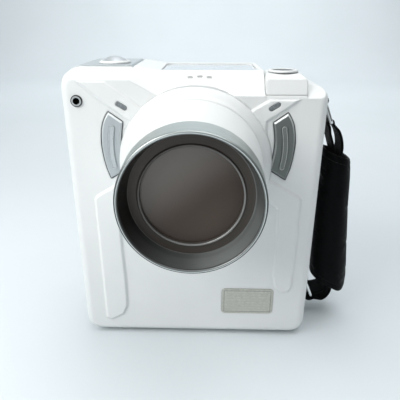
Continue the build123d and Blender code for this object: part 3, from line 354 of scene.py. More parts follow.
@material
def cone_metal(look):
    """Turned ring, pale outside with painted shade underneath; a dark bore with painted light on
    one side; a beaded front lip with a painted highlight and painted shade.
    """
    radius, along, rings, fine = lathe(look, BEAM)
    tone = ring_tone(look, rings, fine)
    x, _, z = look.xyz(look.shift(*BEAM))
    outward = look.vector("NORMALIZE", look.join(x, 0.0, z))
    true_normal = look.new("ShaderNodeNewGeometry").outputs["True Normal"]
    facing = look.vector("DOT_PRODUCT", outward, true_normal)
    bore = look.ramp(facing, span=(-0.55, -0.75))       # the wall that faces the beam axis

    # outer wall, with painted shade underneath
    color = look.mix(tone, (0.46, 0.50, 0.485), (0.55, 0.59, 0.575))
    color = look.mix(look.times(look.worn_edge(), 0.7), color, (0.85, 0.87, 0.86))
    down = look.vector("DOT_PRODUCT", outward, (0.0, 0.0, -1.0))
    rear = look.ramp(along, span=(-0.0970, -0.0955))
    under = look.ramp(down, span=(-0.75, 0.35), to=(0.0, 0.72), smooth=True)
    color = look.mix(look.times(under, look.larger(rear, 0.5)), color, (0.10, 0.11, 0.11))

    # bore, with painted light at its lower right: a wide band and a tighter one
    aim = look.vector("DOT_PRODUCT", outward, (0.68, 0.0, -0.73))
    lit = look.add(look.ramp(aim, span=(-0.60, 0.75), to=(0.0, 0.58), smooth=True),
                   look.ramp(aim, span=(0.60, 0.99), to=(0.0, 0.62), smooth=True))
    dark = look.mix(tone, (0.028, 0.026, 0.024), (0.042, 0.040, 0.037))
    pale = look.mix(tone, (0.31, 0.335, 0.33), (0.41, 0.44, 0.435))
    color = look.mix(bore, color, look.mix(lit, dark, pale))

    # front lip: a painted highlight on the bead, a dark outer edge deepened towards the bottom by
    # painted shade, a dim inner edge
    lip = look.ramp(along, span=(-0.0953, -0.0957))
    bead = look.times(look.ramp(radius, span=(0.03408, 0.03418)),
                      look.ramp(radius, span=(0.03448, 0.03440)))
    outer = look.times(look.ramp(radius, span=(0.03446, 0.03462)),
                       look.ramp(down, span=(-0.95, 0.1), to=(0.25, 0.97), smooth=True))
    inner = look.ramp(radius, span=(0.03420, 0.03400))
    color = look.mix(look.times(lip, look.times(bead, 0.85)), color, (0.80, 0.83, 0.82))
    color = look.mix(look.times(lip, outer), color, (0.060, 0.066, 0.066))
    color = look.mix(look.times(lip, look.times(inner, 0.7)), color, (0.12, 0.125, 0.125))
    look.put(
        color=color,
        metal=look.ramp(bore, span=(0.0, 1.0), to=(0.9, 0.75)),
        rough=look.add(look.ramp(fine, to=(0.30, 0.38)), look.times(bore, 0.02)),
        normal=look.bump(fine, strength=0.10, depth=0.00008, edge=0.00035),
    )


@material
def retainer_metal(look):
    """Dark turned ring with painted highlights on two circles, stronger at the lower right."""
    radius, _, _, fine = lathe(look, BEAM)
    # painted highlights: two bright circles on the ring
    bright = look.larger(look.line(radius, at=0.0255, fade=(0.0003, 0.0006)),
                         look.line(radius, at=0.0311, fade=(0.0002, 0.0005)))
    color = look.tones(fine, (0.058, 0.047, 0.040), (0.084, 0.071, 0.062))
    # painted light: the highlights made stronger towards the lower right
    x, _, z = look.xyz(look.shift(*BEAM))
    lower_right = look.add(look.times(x, 0.7), look.times(z, -0.7))
    side = look.ramp(lower_right, span=(-0.025, 0.028), to=(0.12, 0.75))
    look.put(
        color=look.mix(look.times(bright, side), color, (0.36, 0.37, 0.36)),
        metal=look.ramp(bright, span=(0.0, 1.0), to=(0.35, 0.6)),
        rough=look.ramp(fine, to=(0.36, 0.44)),
        normal=look.bump(fine, strength=0.10, depth=0.00008, edge=0.00035),
    )


@material
def window(look):
    """Dark brown disc with flecks, a darker rim and painted light in a pale glow at its upper left.
    """
    radius, _ = look.turned(BEAM)
    fleck = look.noise(scale=1500.0, detail=4.0, rough=0.7)
    cloud = look.noise(scale=28.0, detail=3.0)
    rim = look.ramp(radius, span=(0.018, 0.0255), smooth=True)
    color = look.tones(cloud, (0.059, 0.042, 0.033), (0.078, 0.058, 0.046))
    flecked = look.ramp(fleck, span=(0.55, 0.75), to=(0.0, 0.30))
    color = look.mix(flecked, color, (0.085, 0.074, 0.066))
    color = look.mix(look.times(rim, 0.35), color, (0.030, 0.024, 0.020))
    # painted light: paler towards the upper left
    x, _, z = look.xyz(look.shift(*BEAM))
    upper_left = look.add(look.times(x, -0.6), look.times(z, 0.8))
    glow = look.ramp(upper_left, span=(-0.008, 0.024), to=(0.0, 0.95), smooth=True)
    look.put(
        color=look.mix(glow, color, (0.235, 0.214, 0.198)),
        metal=0.0, spec=0.25, coat=0.08, coat_rough=0.4,
        rough=look.ramp(fleck, to=(0.34, 0.46)),
        normal=look.bump(fleck, strength=0.15, depth=0.00004),
    )


@material
def panel_grey(look):
    """Satin silver paint with painted shade over the right side and a painted highlight on the
    sloping borders that face upwards.
    """
    streak = look.noise(scale=2400.0)
    cloud = look.noise(scale=60.0, detail=3.0, rough=0.6)
    color = look.tones(streak, (0.440, 0.478, 0.498), (0.470, 0.508, 0.528))
    clouded = look.ramp(cloud, span=(0.35, 0.75), to=(0.0, 0.3))
    color = look.mix(clouded, color, (0.43, 0.465, 0.485))
    # painted shade: the right-hand panel darker
    color = look.mix(right_side_shade(look), color, (0.155, 0.172, 0.166))
    # painted highlight: sloping borders paler where they face upwards
    facet = look.xyz(look.new("ShaderNodeNewGeometry").outputs["True Normal"])
    slope = look.ramp(look.size(facet[1]), span=(0.97, 0.88))
    painted_uphill_highlight = look.ramp(facet[2], span=(-0.1, 0.5), to=(0.12, 1.0))
    look.put(
        color=look.mix(look.times(slope, painted_uphill_highlight), color, (0.80, 0.83, 0.83)),
        metal=0.35, coat=0.1, coat_rough=0.25,
        rough=look.ramp(streak, to=(0.36, 0.42)),
        normal=look.bump(streak, strength=0.05, depth=0.00003, edge=0.0007),
    )


@material
def light_bar(look):
    frost = look.noise(scale=1500.0)
    color = look.tones(frost, (0.440, 0.478, 0.498), (0.475, 0.513, 0.533))
    look.put(
        # painted shade: the right-hand bar darker
        color=look.mix(right_side_shade(look), color, (0.165, 0.182, 0.176)),
        rough=look.ramp(frost, to=(0.30, 0.38)),
        normal=look.bump(frost, strength=0.06, depth=0.00003, edge=0.0005),
        coat=0.3, coat_rough=0.2,
    )


@material
def trim_silver(look):
    grain = look.noise(scale=1400.0)
    look.put(
        color=look.tones(grain, (0.62, 0.65, 0.65), (0.74, 0.76, 0.76)),
        metal=0.75,
        rough=look.ramp(grain, to=(0.20, 0.30)),
        normal=look.bump(grain, strength=0.06, depth=0.00003),
    )


@material
def bar_rim(look):
    grain = look.noise(scale=1400.0)
    pale = look.tones(grain, (0.49, 0.53, 0.55), (0.53, 0.57, 0.59))
    shaded_tone = look.tones(grain, (0.42, 0.44, 0.43), (0.50, 0.52, 0.51))
    look.put(
        # painted shade: the right-hand rim takes the darker copy
        color=look.mix(right_side_shade(look), pale, shaded_tone),
        metal=0.4,
        rough=look.ramp(grain, to=(0.26, 0.36)),
        normal=look.bump(grain, strength=0.06, depth=0.00003),
    )


# painted shade: a dark material for the beads that stand for the shadow in the panel gaps
@material
def gap_dark(look):
    grain = look.noise(scale=900.0)
    look.put(
        color=look.mix(grain, (0.06, 0.065, 0.066), (0.10, 0.107, 0.108)),
        rough=look.ramp(grain, to=(0.75, 0.9)), spec=0.1,
    )


@material
def indicator(look):
    grain = look.noise(scale=900.0)
    look.put(
        color=look.tones(grain, (0.14, 0.16, 0.17), (0.20, 0.22, 0.23)),
        metal=0.0, coat=0.8, coat_rough=0.08,
        rough=look.ramp(grain, to=(0.2, 0.3)),
        normal=look.bump(look.cells(scale=1600.0), strength=0.2, depth=0.00006, edge=0.0003),
    )


@material
def plate_silver(look):
    """Blank rating plate: crinkled foil, an engraved frame line and empty ruled fields."""
    crinkle = look.noise(scale=520.0, detail=5.0, rough=0.65, warp=0.8)
    x, _, z = look.xyz(look.shift(0.03515, 0.0, 0.0262))
    inset = look.beyond(x, z, half_a=0.01555, half_b=0.0082)
    frame_line = look.ramp(look.size(inset), span=(0.00010, 0.00032), to=(1.0, 0.0))
    row = look.calc("PINGPONG", look.add(z, 0.02), 0.0021)      # metres between turns
    rule = look.line(row, at=0.0011, fade=(0.0001, 0.0004))
    inside = look.ramp(inset, span=(-0.0016, -0.0012), to=(1.0, 0.0))
    patchy = look.ramp(crinkle, span=(0.46, 0.56))
    fields = look.times(look.times(rule, inside), patchy)
    foil = look.ramp(crinkle, span=(0.35, 0.65))
    color = look.mix(foil, (0.47, 0.465, 0.42), (0.60, 0.59, 0.53))
    color = look.mix(look.times(fields, 0.22), color, (0.16, 0.155, 0.14))
    crinkled = look.bump(crinkle, strength=0.12, depth=0.00020, edge=0.0003)
    look.put(
        color=look.mix(look.times(frame_line, 0.65), color, (0.13, 0.125, 0.115)),
        metal=0.55,
        rough=look.ramp(crinkle, to=(0.30, 0.52)),
        normal=look.bump(frame_line, strength=0.4, depth=-0.0001, over=crinkled),
    )


@material
def chrome_trim(look):
    """Plated wire and pressings: near mirror, with hairline scratches and a faint haze."""
    base = (0.78, 0.80, 0.80)
    edges = look.cells(scale=900.0, feature="DISTANCE_TO_EDGE", at=look.stretch(1.0, 0.18, 0.5))
    haze = look.noise(scale=180.0, detail=4.0, rough=0.6)
    scratch = look.ramp(edges, span=(0.0, 0.02), to=(1.0, 0.0))
    hazy = look.ramp(haze, span=(0.45, 0.8), to=(0.0, 0.5))
    look.put(
        color=look.mix(hazy, base, shade(base, 0.72)),
        metal=1.0,
        rough=look.add(look.ramp(haze, to=(0.08, 0.2)), look.times(scratch, 0.15)),
        normal=look.bump(scratch, strength=0.08, depth=0.00004, edge=0.0003),
    )


@material
def jack_metal(look):
    """Bright ring round a black hole, with painted shade of the recess outside it."""
    radius, _ = look.turned((-0.0658, 0.0, 0.1586))
    haze = look.noise(scale=700.0, detail=3.0, rough=0.6)
    hole = look.ramp(radius, span=(0.00186, 0.00196), to=(1.0, 0.0))
    # painted shade: a dark ring for the recess round the socket
    recess_shade = look.ramp(radius, span=(0.00268, 0.00282))
    color = look.tones(haze, (0.62, 0.64, 0.64), (0.78, 0.80, 0.80))
    color = look.mix(recess_shade, color, (0.035, 0.036, 0.037))
    look.put(
        color=look.mix(hole, color, (0.004, 0.004, 0.004)),
        metal=look.minus(1.0, look.larger(hole, recess_shade)),
        rough=look.ramp(haze, to=(0.16, 0.30)),
        normal=look.bump(haze, strength=0.05, depth=0.00004, edge=0.0003),
    )


@material
def pad_grey(look):
    brushed(look, base=(0.56, 0.60, 0.62), dark=(0.50, 0.54, 0.56), rough=(0.34, 0.42),
            along=(0.05, 1, 1), scale=3600.0, metal=0.55, edge=0.0006, coat=0.1, strength=0.06)


@material
def button_silver(look):
    low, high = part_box("trigger_ring")
    turned_metal(look, base=(0.56, 0.59, 0.61), dark=(0.50, 0.53, 0.55), rough=(0.34, 0.42),
                 centre=((low.x + high.x) / 2, (low.y + high.y) / 2, 0.0),
                 lines=0.04, metal=0.45)


@material
def button_grey(look):
    turned_metal(look, base=(0.155, 0.16, 0.165), dark=(0.10, 0.105, 0.11), rough=(0.36, 0.46),
                 centre=(0.0506, -0.017, 0.0), lines=0.10, metal=0.2)


@material
def spring_steel(look):
    brushed(look, base=(0.55, 0.55, 0.54), dark=(0.40, 0.40, 0.40), rough=(0.2, 0.35))


@material
def screw_steel(look):
    brushed(look, base=(0.50, 0.50, 0.50), dark=(0.30, 0.30, 0.31), rough=(0.22, 0.38),
            along=(1, 1, 1))


# ------------------------------------------------------------------ inner part materials
@material
def black_plastic(look):
    moulded(look, low=(0.016, 0.016, 0.017), high=(0.028, 0.028, 0.03), grain=2400.0,
            depth=0.00006, rough=(0.4, 0.55), coat=0.0, gap=0.2)


@material
def pcb(look):
    tracks = look.new("ShaderNodeTexBrick")
    bricks = {
        "Vector": look.stretch(260, 260, 260), "Color1": (0.010, 0.085, 0.035),
        "Color2": (0.014, 0.11, 0.045), "Mortar": (0.05, 0.19, 0.08), "Mortar Size": 0.03,
    }
    for key, value in bricks.items():
        look.link(value, tracks.inputs[key])
    spots = look.ramp(look.noise(scale=900.0), span=(0.6, 0.75), to=(0.0, 0.6))
    look.put(
        color=look.mix(spots, tracks.outputs["Color"], (0.03, 0.03, 0.03)),
        rough=0.4, spec=0.5, coat=0.4,
        normal=look.bump(tracks.outputs["Fac"], strength=0.3, depth=0.00008, edge=0.0003),
    )


@material
def lead(look):
    brushed(look, base=(0.22, 0.225, 0.24), dark=(0.14, 0.145, 0.155), rough=(0.5, 0.65),
            along=(1, 1, 1), scale=700.0, strength=0.3)


@material
def tank_alu(look):
    brushed(look, base=(0.62, 0.63, 0.63), dark=(0.48, 0.49, 0.50), rough=(0.3, 0.42),
            along=(0.05, 1, 1), scale=2600.0)


@material
def rubber_black(look):
    grain = look.noise(scale=1800.0, detail=3.0, rough=0.7)
    look.put(
        color=look.mix(grain, (0.012, 0.012, 0.012), (0.035, 0.035, 0.036)),
        rough=0.75, spec=0.3,
        normal=look.bump(grain, strength=0.4, depth=0.0001, edge=0.0004),
    )


@material
def resin(look):
    swirl = look.noise(scale=260.0, detail=4.0, rough=0.6, warp=0.6)
    look.put(
        color=look.tones(swirl, (0.10, 0.055, 0.02), (0.23, 0.13, 0.05)),
        rough=0.35, coat=0.4,
        normal=look.bump(swirl, strength=0.2, depth=0.0003, edge=0.0005),
    )


@material
def glass(look):
    wave = look.noise(scale=120.0, detail=3.0)
    look.put(
        color=look.mix(wave, (0.80, 0.88, 0.86), (0.92, 0.96, 0.95)),
        rough=0.05, ior=1.47, glass=0.9,
        normal=look.bump(wave, strength=0.05, depth=0.0004),
    )


@material
def copper(look):
    brushed(look, base=(0.72, 0.36, 0.22), dark=(0.50, 0.22, 0.13), rough=(0.25, 0.4),
            along=(1, 0.1, 1), scale=2000.0)


@material
def battery_wrap(look):
    cloud = look.noise(scale=40.0, rough=0.4)
    wrap = look.noise(at=look.stretch(0.2, 1, 1), scale=900.0, detail=3.0, rough=0.6)
    look.put(
        color=look.tones(cloud, (0.02, 0.07, 0.22), (0.03, 0.10, 0.30)),
        rough=0.3, coat=0.5,
        normal=look.bump(wrap, strength=0.3, depth=0.0002, edge=0.0006),
    )


# ------------------------------------------------------------------ display and key materials
@material
def display_glass(look):
    """Smoked glass over a dark screen, its active area just showing inside a thin ring."""
    x, _, z = look.xyz(look.shift(0.0, 0.0, 0.122))
    edge = look.beyond(x, z, half_a=0.0305, half_b=0.0195)
    active = look.ramp(edge, span=(-0.0002, 0.0002), to=(1.0, 0.0))
    ring = look.line(edge, at=0.0022, fade=(0.0001, 0.0003))
    smudge = look.noise(scale=55.0, detail=4.0, rough=0.6, warp=0.7)
    color = look.mix(active, (0.004, 0.0045, 0.005), (0.013, 0.017, 0.021))
    look.put(
        color=look.mix(look.times(ring, 0.5), color, (0.06, 0.065, 0.07)),
        spec=0.6, coat=1.0, coat_rough=0.03,
        rough=look.ramp(smudge, span=(0.45, 0.75), to=(0.05, 0.22)),
        normal=look.bump(smudge, strength=0.02, depth=0.0006, edge=0.0003),
    )


@material
def top_glass(look):
    """Blue-grey pane with a deeper active area and a pale border."""
    low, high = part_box("top_window")
    x, y, _ = look.xyz(look.shift((low.x + high.x) / 2, (low.y + high.y) / 2, 0.0))
    edge = look.beyond(x, y, half_a=(high.x - low.x) / 2, half_b=(high.y - low.y) / 2)
    active = look.ramp(edge, span=(-0.0056, -0.0052), to=(1.0, 0.0))
    border = look.ramp(edge, span=(-0.0013, -0.0010))
    smudge = look.noise(scale=70.0, detail=4.0, rough=0.6, warp=0.5)
    smudged = look.ramp(smudge, span=(0.5, 0.8), to=(0.0, 0.2))
    color = look.mix(active, (0.50, 0.55, 0.60), (0.44, 0.49, 0.54))
    color = look.mix(smudged, color, (0.58, 0.62, 0.66))
    look.put(
        color=look.mix(border, color, (0.86, 0.88, 0.89)),
        spec=0.5, coat=0.7, coat_rough=0.08,
        rough=look.ramp(smudge, span=(0.4, 0.7), to=(0.12, 0.24)),
        normal=look.bump(smudge, strength=0.02, depth=0.0006, edge=0.0003),
    )


@material
def key_rubber(look):
    grain = look.noise(scale=2800.0, rough=0.6)
    color = look.tones(grain, (0.30, 0.31, 0.32), (0.38, 0.39, 0.40))
    # painted shade: darker colour in the gaps round the key, by ambient occlusion
    painted_gap_shade = look.ramp(look.crevice(0.002), span=(0.3, 0.9), to=(0.5, 0.0))
    look.put(
        color=look.mix(painted_gap_shade, color, (0.05, 0.05, 0.052)),
        rough=0.6, spec=0.35, sheen=0.1,
        normal=look.bump(grain, strength=0.4, depth=0.00006, edge=0.0005),
    )


@material
def key_mark(look):
    grain = look.noise(scale=2600.0, rough=0.6)
    look.put(
        color=look.mix(grain, (0.62, 0.63, 0.63), (0.80, 0.80, 0.79)),
        rough=0.5, spec=0.4,
        normal=look.bump(grain, strength=0.2, depth=0.00003),
    )


# ------------------------------------------------------------------ strap materials
@material
def webbing(look):
    """Woven webbing: herringbone ribs across the band, loose fibres, dusty high points."""
    rib_pitch, pick_pitch, zigzag = 0.00125, 0.0011, 0.0025     # metres
    band = look.new("ShaderNodeUVMap", uv_map="band").outputs[0]
    across, along, _ = look.xyz(band)
    rib = look.calc("SINE", look.times(across, 2 * math.pi / rib_pitch))
    zig = look.calc("PINGPONG", look.add(across, 0.1), zigzag)
    pick = look.calc("SINE", look.times(look.add(along, zig), 2 * math.pi / pick_pitch))
    fibre = look.noise(scale=5200.0, detail=3.0, rough=0.7)
    ribs = look.times(look.times(rib, 0.5), 1.0)
    height = look.add(look.add(ribs, look.times(pick, 0.6)), look.times(fibre, 0.6))
    raised = look.ramp(height, span=(-0.9, 1.3))
    color = look.mix(raised, (0.0008, 0.0008, 0.0010), (0.0042, 0.0045, 0.0050))
    dust = look.noise(scale=300.0, detail=4.0, rough=0.7)
    dusty = look.ramp(dust, span=(0.6, 0.85), to=(0.0, 0.12))
    look.put(
        color=look.mix(dusty, color, (0.02, 0.02, 0.021)),
        spec=0.05, sheen=0.03, sheen_rough=0.45,
        rough=look.ramp(fibre, to=(0.55, 0.75)),
        normal=look.bump(height, strength=0.7, depth=0.00022),
    )


@material
def leatherette(look):
    """Black leatherette: pebble grain, creases, a soft wide sheen."""
    cell = look.cells(scale=950.0, feature="DISTANCE_TO_EDGE", at=look.stretch(1, 1, 0.85))
    fine = look.noise(scale=3000.0, detail=3.0, rough=0.65)
    crease = look.noise(at=look.stretch(1, 1, 0.35), scale=150.0, detail=4.0, rough=0.6, warp=1.2)
    pebble = (0.0, 0.12)                        # cell distances from groove to crown
    grain = look.add(look.ramp(cell, span=pebble), look.times(fine, 0.35))
    raised = look.ramp(grain, span=(0.1, 1.2))
    color = look.mix(raised, (0.0006, 0.0008, 0.0009), (0.0018, 0.0022, 0.0025))
    creased = look.ramp(crease, span=(0.55, 0.75), to=(0.0, 0.3))
    color = look.mix(creased, color, (0.0035, 0.0042, 0.0046))
    worn = look.times(look.worn_edge(radius=0.0008), 0.18)
    pebbled = look.bump(grain, strength=0.38, depth=0.00012)
    look.put(
        color=look.mix(worn, color, (0.022, 0.024, 0.026)),
        rough=look.add(look.ramp(cell, span=pebble, to=(0.52, 0.40)),
                       look.ramp(crease, to=(0.0, 0.08))),
        normal=look.bump(crease, strength=0.14, depth=0.0006, over=pebbled),
        spec=0.07, sheen=0.02, sheen_rough=0.4,
    )


@material
def sleeve_lining(look):
    nap = look.noise(scale=2600.0, detail=4.0, rough=0.75)
    look.put(
        color=look.mix(nap, (0.002, 0.002, 0.0022), (0.009, 0.009, 0.010)),
        rough=0.9, spec=0.1, sheen=0.02,
        normal=look.bump(nap, strength=0.6, depth=0.0002),
    )


@material
def thread(look):
    ply = look.noise(at=look.stretch(1, 1, 0.3), scale=4000.0, rough=0.6)
    look.put(
        color=look.mix(ply, (0.003, 0.003, 0.0035), (0.012, 0.013, 0.014)),
        rough=0.6, spec=0.2, sheen=0.05,
        normal=look.bump(ply, strength=0.6, depth=0.00008),
    )


# ------------------------------------------------------------------ materials onto CAD nodes
NODES_OF = {
    "white_shell": ("front_shell", "cone_housing", "trigger_ring", "power_tower", "power_ring"),
    "rear_white": ("rear_cover",),
    "foot_rubber": ("feet",),
    "cone_metal": ("cone_ring",),
    "retainer_metal": ("window_retainer",),
    "window": ("window_plate",),
    "panel_grey": ("side_panel_left", "side_panel_right"),
    "light_bar": ("light_bars",),
    "indicator": ("indicator_lenses",),
    "plate_silver": ("rating_plate",),
    "chrome_trim": ("strap_lugs", "d_ring_upper", "d_ring_lower"),
    "jack_metal": ("jack_socket",),
    "pad_grey": ("trigger_pad",),
    "button_silver": ("trigger_button",),
    "button_grey": ("power_button",),
    "spring_steel": ("trigger_spring",),
    "screw_steel": ("case_screws", "hex_nuts", "lug_screws", "inner_screws"),
    "display_glass": ("rear_lens",),
    "top_glass": ("top_window",),
    "key_rubber": ("key_mode", "key_down", "key_up", "key_set"),
    "webbing": ("strap_webbing",),
    "leatherette": ("strap_pad",),
}


def dress_nodes():
    """Other nodes take the look their CAD material names, or plain aluminium."""
    look_of = {node: look for look, nodes in NODES_OF.items() for node in nodes}
    for name, node in NODES.items():
        slots = node.data.materials
        imported = slots[0].name.split(".")[0] if slots and slots[0] else ""
        look = look_of.get(name, imported if imported in LOOKS else "tank_alu")
        slots.clear()
        slots.append(LOOKS[look])


dress_nodes()


# ------------------------------------------------------------------ mesh helpers
def mesh_object(name, verts, faces, uvs=None):
    """An object with its faces turned outwards, and a "band" UV map if uvs are given."""
    mesh = bpy.data.meshes.new(name)
    mesh.from_pydata([tuple(v) for v in verts], [], faces)
    if uvs is not None:
        layer = mesh.uv_layers.new(name="band")
        for poly in mesh.polygons:
            for corner, vertex in zip(poly.loop_indices, poly.vertices):
                layer.data[corner].uv = uvs[vertex]
    bm = bmesh.new()
    bm.from_mesh(mesh)
    bmesh.ops.recalc_face_normals(bm, faces=bm.faces)
    bm.to_mesh(mesh)
    bm.free()
    obj = bpy.data.objects.new(name, mesh)
    bpy.context.scene.collection.objects.link(obj)
    return obj


def place(name, verts, faces, look, body=None, smooth=True, uvs=None):
    """A new piece in metres, riding on a CAD body if one is given."""
    obj = mesh_object(name, verts, faces, uvs)
    if smooth:
        obj.data.shade_smooth()
    obj.data.materials.append(LOOKS[look])
    if body:
        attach(obj, body)
    return obj


def skin(rings, around, closed=True, base=0):
    """Quads round a run of rings of points; a closed run joins its last ring to its first."""
    faces = []
    for i in range(rings if closed else rings - 1):
        here = base + i * around
        ahead = base + (i + 1) % rings * around
        for a in range(around):
            b = (a + 1) % around
            faces.append((here + a, here + b, ahead + b, ahead + a))
    return faces


def sheet(rows, columns):
    """Quads of an open grid of points."""
    return [(i * columns + j, i * columns + j + 1, (i + 1) * columns + j + 1, (i + 1) * columns + j)
            for i in range(rows - 1) for j in range(columns - 1)]


def run_length(points):
    """Distance along a path at each of its points."""
    return np.r_[0, np.cumsum(np.linalg.norm(np.diff(points, axis=0), axis=1))]


def sample(points, run, at):
    """Points of a path at given distances along it."""
    return np.stack([np.interp(at, run, column) for column in points.T], axis=-1)


def sample_loop(loop, count):
    closed = np.vstack([loop, loop[:1]])
    run = run_length(closed)
    return sample(closed, run, np.linspace(0, run[-1], count, endpoint=False))


def even(loop, step):
    """A closed loop resampled to even steps of about the given length."""
    length = run_length(np.vstack([loop, loop[:1]]))[-1]
    return sample_loop(loop, max(12, int(length / step)))


def spline(points, count):
    """Evenly spaced points along a smooth curve through the given points."""
    knots = np.array(points, float)
    padded = np.vstack([2 * knots[0] - knots[1], knots, 2 * knots[-1] - knots[-2]])
    curve = []
    for i in range(len(knots) - 1):
        before, start, end, after = padded[i:i + 4]
        for t in np.linspace(0, 1, 40, endpoint=(i == len(knots) - 2)):
            curve.append(0.5 * (2 * start + (end - before) * t
                                + (2 * before - 5 * start + 4 * end - after) * t ** 2
                                + (3 * start - before - 3 * end + after) * t ** 3))
    curve = np.array(curve)
    run = run_length(curve)
    return sample(curve, run, np.linspace(0, run[-1], count))


def loop_tangents(path):
    tangent = np.roll(path, -1, 0) - np.roll(path, 1, 0)
    return tangent / np.linalg.norm(tangent, axis=1)[:, None]


def sides(path, closed=False):
    """Unit tangents of a plane path and its normals; going down, a normal points to +X."""
    if closed:
        tangent = loop_tangents(path)
    else:
        tangent = np.gradient(path, axis=0)
        tangent /= np.linalg.norm(tangent, axis=1)[:, None]
    return tangent, np.stack([-tangent[:, 1], tangent[:, 0]], 1)


def unit(vector):
    return vector / np.linalg.norm(vector)


# ------------------------------------------------------------------ strap webbing
WIRE = 1.1                               # D-ring wire radius
PLY = 1.35                               # webbing thickness
BAND_HALF_WIDTH = 8.6
BAND_STEPS = 460
# middle line between the two plies from the upper D-ring to the lower one, (x, z)
STRAP_LINE = [
    (86.0, 138.6), (89.0, 129.0), (91.2, 119.0), (92.2, 100.0), (93.0, 82.0), (94.2, 62.0),
    (95.6, 42.0), (96.6, 27.0), (95.2, 18.0), (91.4, 14.0), (87.4, 13.6),
]
# half of the band's section: (place across over half width, height over half thickness),
# with thicker woven selvedges
BAND_EDGE = [(-1.0, 0.35), (-0.985, 0.8), (-0.93, 1.12), (-0.86, 1.12), (-0.6, 1.0), (-0.2, 1.0)]


def hump(run, at, width):
    return np.exp(-((run - at) / width) ** 2)


core = spline(STRAP_LINE, 220)
_, core_out = sides(core)
core_run = run_length(core)
core_left = core_run[-1] - core_run      # distance still to go
# half distance between the plies: an open eye at each bar, flat in the sleeve
eye_up = 1.9 * hump(core_run, 0.0, 13.0) + 0.6 * hump(core_run, 16.0, 7.0)
eye_low = 1.9 * hump(core_left, 0.0, 12.0) + 0.5 * hump(core_left, 15.0, 7.0)
ply_gap = 0.85 + eye_up + eye_low
# the outer ply also bows out near both ends
outer_gap = ply_gap + (1.6 * hump(core_run, 11.0, 7.5) + 1.5 * hump(core_left, 3.0, 7.0))


def bar_of(node):
    """Outer bar of a D-ring: the lower outer corner of its box, in by the wire."""
    low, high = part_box(node)
    return np.array([high.x / MM - WIRE, low.z / MM + WIRE])


def wrap(bar, start, end, away, radius):
    """Arc round a bar from one ply to the other, on the side that points away."""
    first, last, middle = (math.atan2(p[1], p[0]) for p in (start - bar, end - bar, away))
    span = (last - first) % (2 * math.pi)
    if (middle - first) % (2 * math.pi) > span:
        span -= 2 * math.pi
    angles = [first + span * f for f in np.linspace(0.04, 0.96, 9)]
    return [bar + radius * np.array([math.cos(a), math.sin(a)]) for a in angles]


def band_path():
    """The closed path of the webbing: down the outer ply and up the inner one."""
    upper, lower = bar_of("d_ring_upper"), bar_of("d_ring_lower")
    radius = WIRE + 0.22 + PLY / 2
    keep = (core_run > 3.2) & (core_run < core_run[-1] - 3.0)
    outer = (core + core_out * outer_gap[:, None])[keep]
    inner = (core - core_out * ply_gap[:, None])[keep]
    # the lower eye hangs looser, off the bar's centre
    lower_centre = lower + np.array([-0.6, -1.4])
    loop = list(outer)
    loop += wrap(lower_centre, outer[-1], inner[-1], lower - core[-20], radius + 1.3)
    loop += list(inner[::-1])
    loop += wrap(upper, inner[0], outer[0], upper - core[20], radius)
    path = sample_loop(np.array(loop), BAND_STEPS)
    for _ in range(3):
        path = 0.25 * np.roll(path, 1, 0) + 0.5 * path + 0.25 * np.roll(path, -1, 0)
    return path


def build_band():
    path = band_path()
    _, normal = sides(path, closed=True)
    run = run_length(path)
    upper = BAND_EDGE + [(-w, h) for w, h in reversed(BAND_EDGE)]
    section = [(w * BAND_HALF_WIDTH, PLY / 2 * h) for w, h in upper]
    section += [(w, -h) for w, h in reversed(section)]
    verts, uvs = [], []
    for i in range(BAND_STEPS):
        wave = 0.10 * math.sin(run[i] * 0.31) + 0.07 * math.sin(run[i] * 0.83 + 1.0)
        for w, h in section:
            x, z = path[i] + normal[i] * h
            verts.append((x * MM, (w + wave) * MM, z * MM))
            uvs.append((w * MM, run[i] * MM))
    faces = skin(BAND_STEPS, len(section))
    band = place("strap_band", verts, faces, "webbing", "strap", uvs=uvs)
    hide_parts("strap_webbing")


build_band()


# ------------------------------------------------------------------ stitches
# one stitch: (place along its length, radius over half width, sink)
STITCH = [(-0.5, 0.0, -0.9), (-0.46, 0.6, -0.5), (-0.3, 1.0, 0.1), (0.0, 1.0, 0.35),
          (0.3, 1.0, 0.1), (0.46, 0.6, -0.5), (0.5, 0.0, -0.9)]


def stitch_run(name, points, normals, length, width, gap, lift):
    """A row of lock stitches: small sunk capsules along a line of (x, y, z) points."""
    points, normals = np.array(points, float), np.array(normals, float)
    run = run_length(points)
    circle_points = [(math.cos(a), math.sin(a))
                     for a in np.linspace(0, 2 * math.pi, 6, endpoint=False)]
    verts, faces = [], []
    at = 0.5 * length
    while at < run[-1] - 0.4 * length:
        centre = sample(points, run, at)
        along = unit(sample(points, run, at + 0.1) - centre)
        up = unit(sample(normals, run, at))
        side = np.cross(along, up)
        faces += skin(len(STITCH), 6, closed=False, base=len(verts))
        for place_along, radius, sink in STITCH:
            for c, s in circle_points:
                point = (centre + along * place_along * length + side * (c * radius * width / 2)
                         + up * (s * radius * width / 2 + lift * (1 + sink)))
                verts.append(point * MM)
        at += length + gap
    place(name, verts, faces, "thread", "strap")


def build_tack():
    """Two bar tacks below the upper eye on the outer ply, sewn across and back."""
    half_width = 6.8
    points, normals = [], []
    for run, way in ((17.5, 1), (19.2, -1)):
        i = int(np.searchsorted(core_run, run))
        x, z = core[i] + core_out[i] * (outer_gap[i] + PLY / 2 + 0.05)
        for y in np.linspace(-half_width, half_width, 40)[::way]:
            points.append((x, y, z))
            normals.append((core_out[i][0], 0.0, core_out[i][1]))
    stitch_run("strap_tack", points, normals, length=1.7, width=0.42, gap=0.75, lift=0.12)


build_tack()


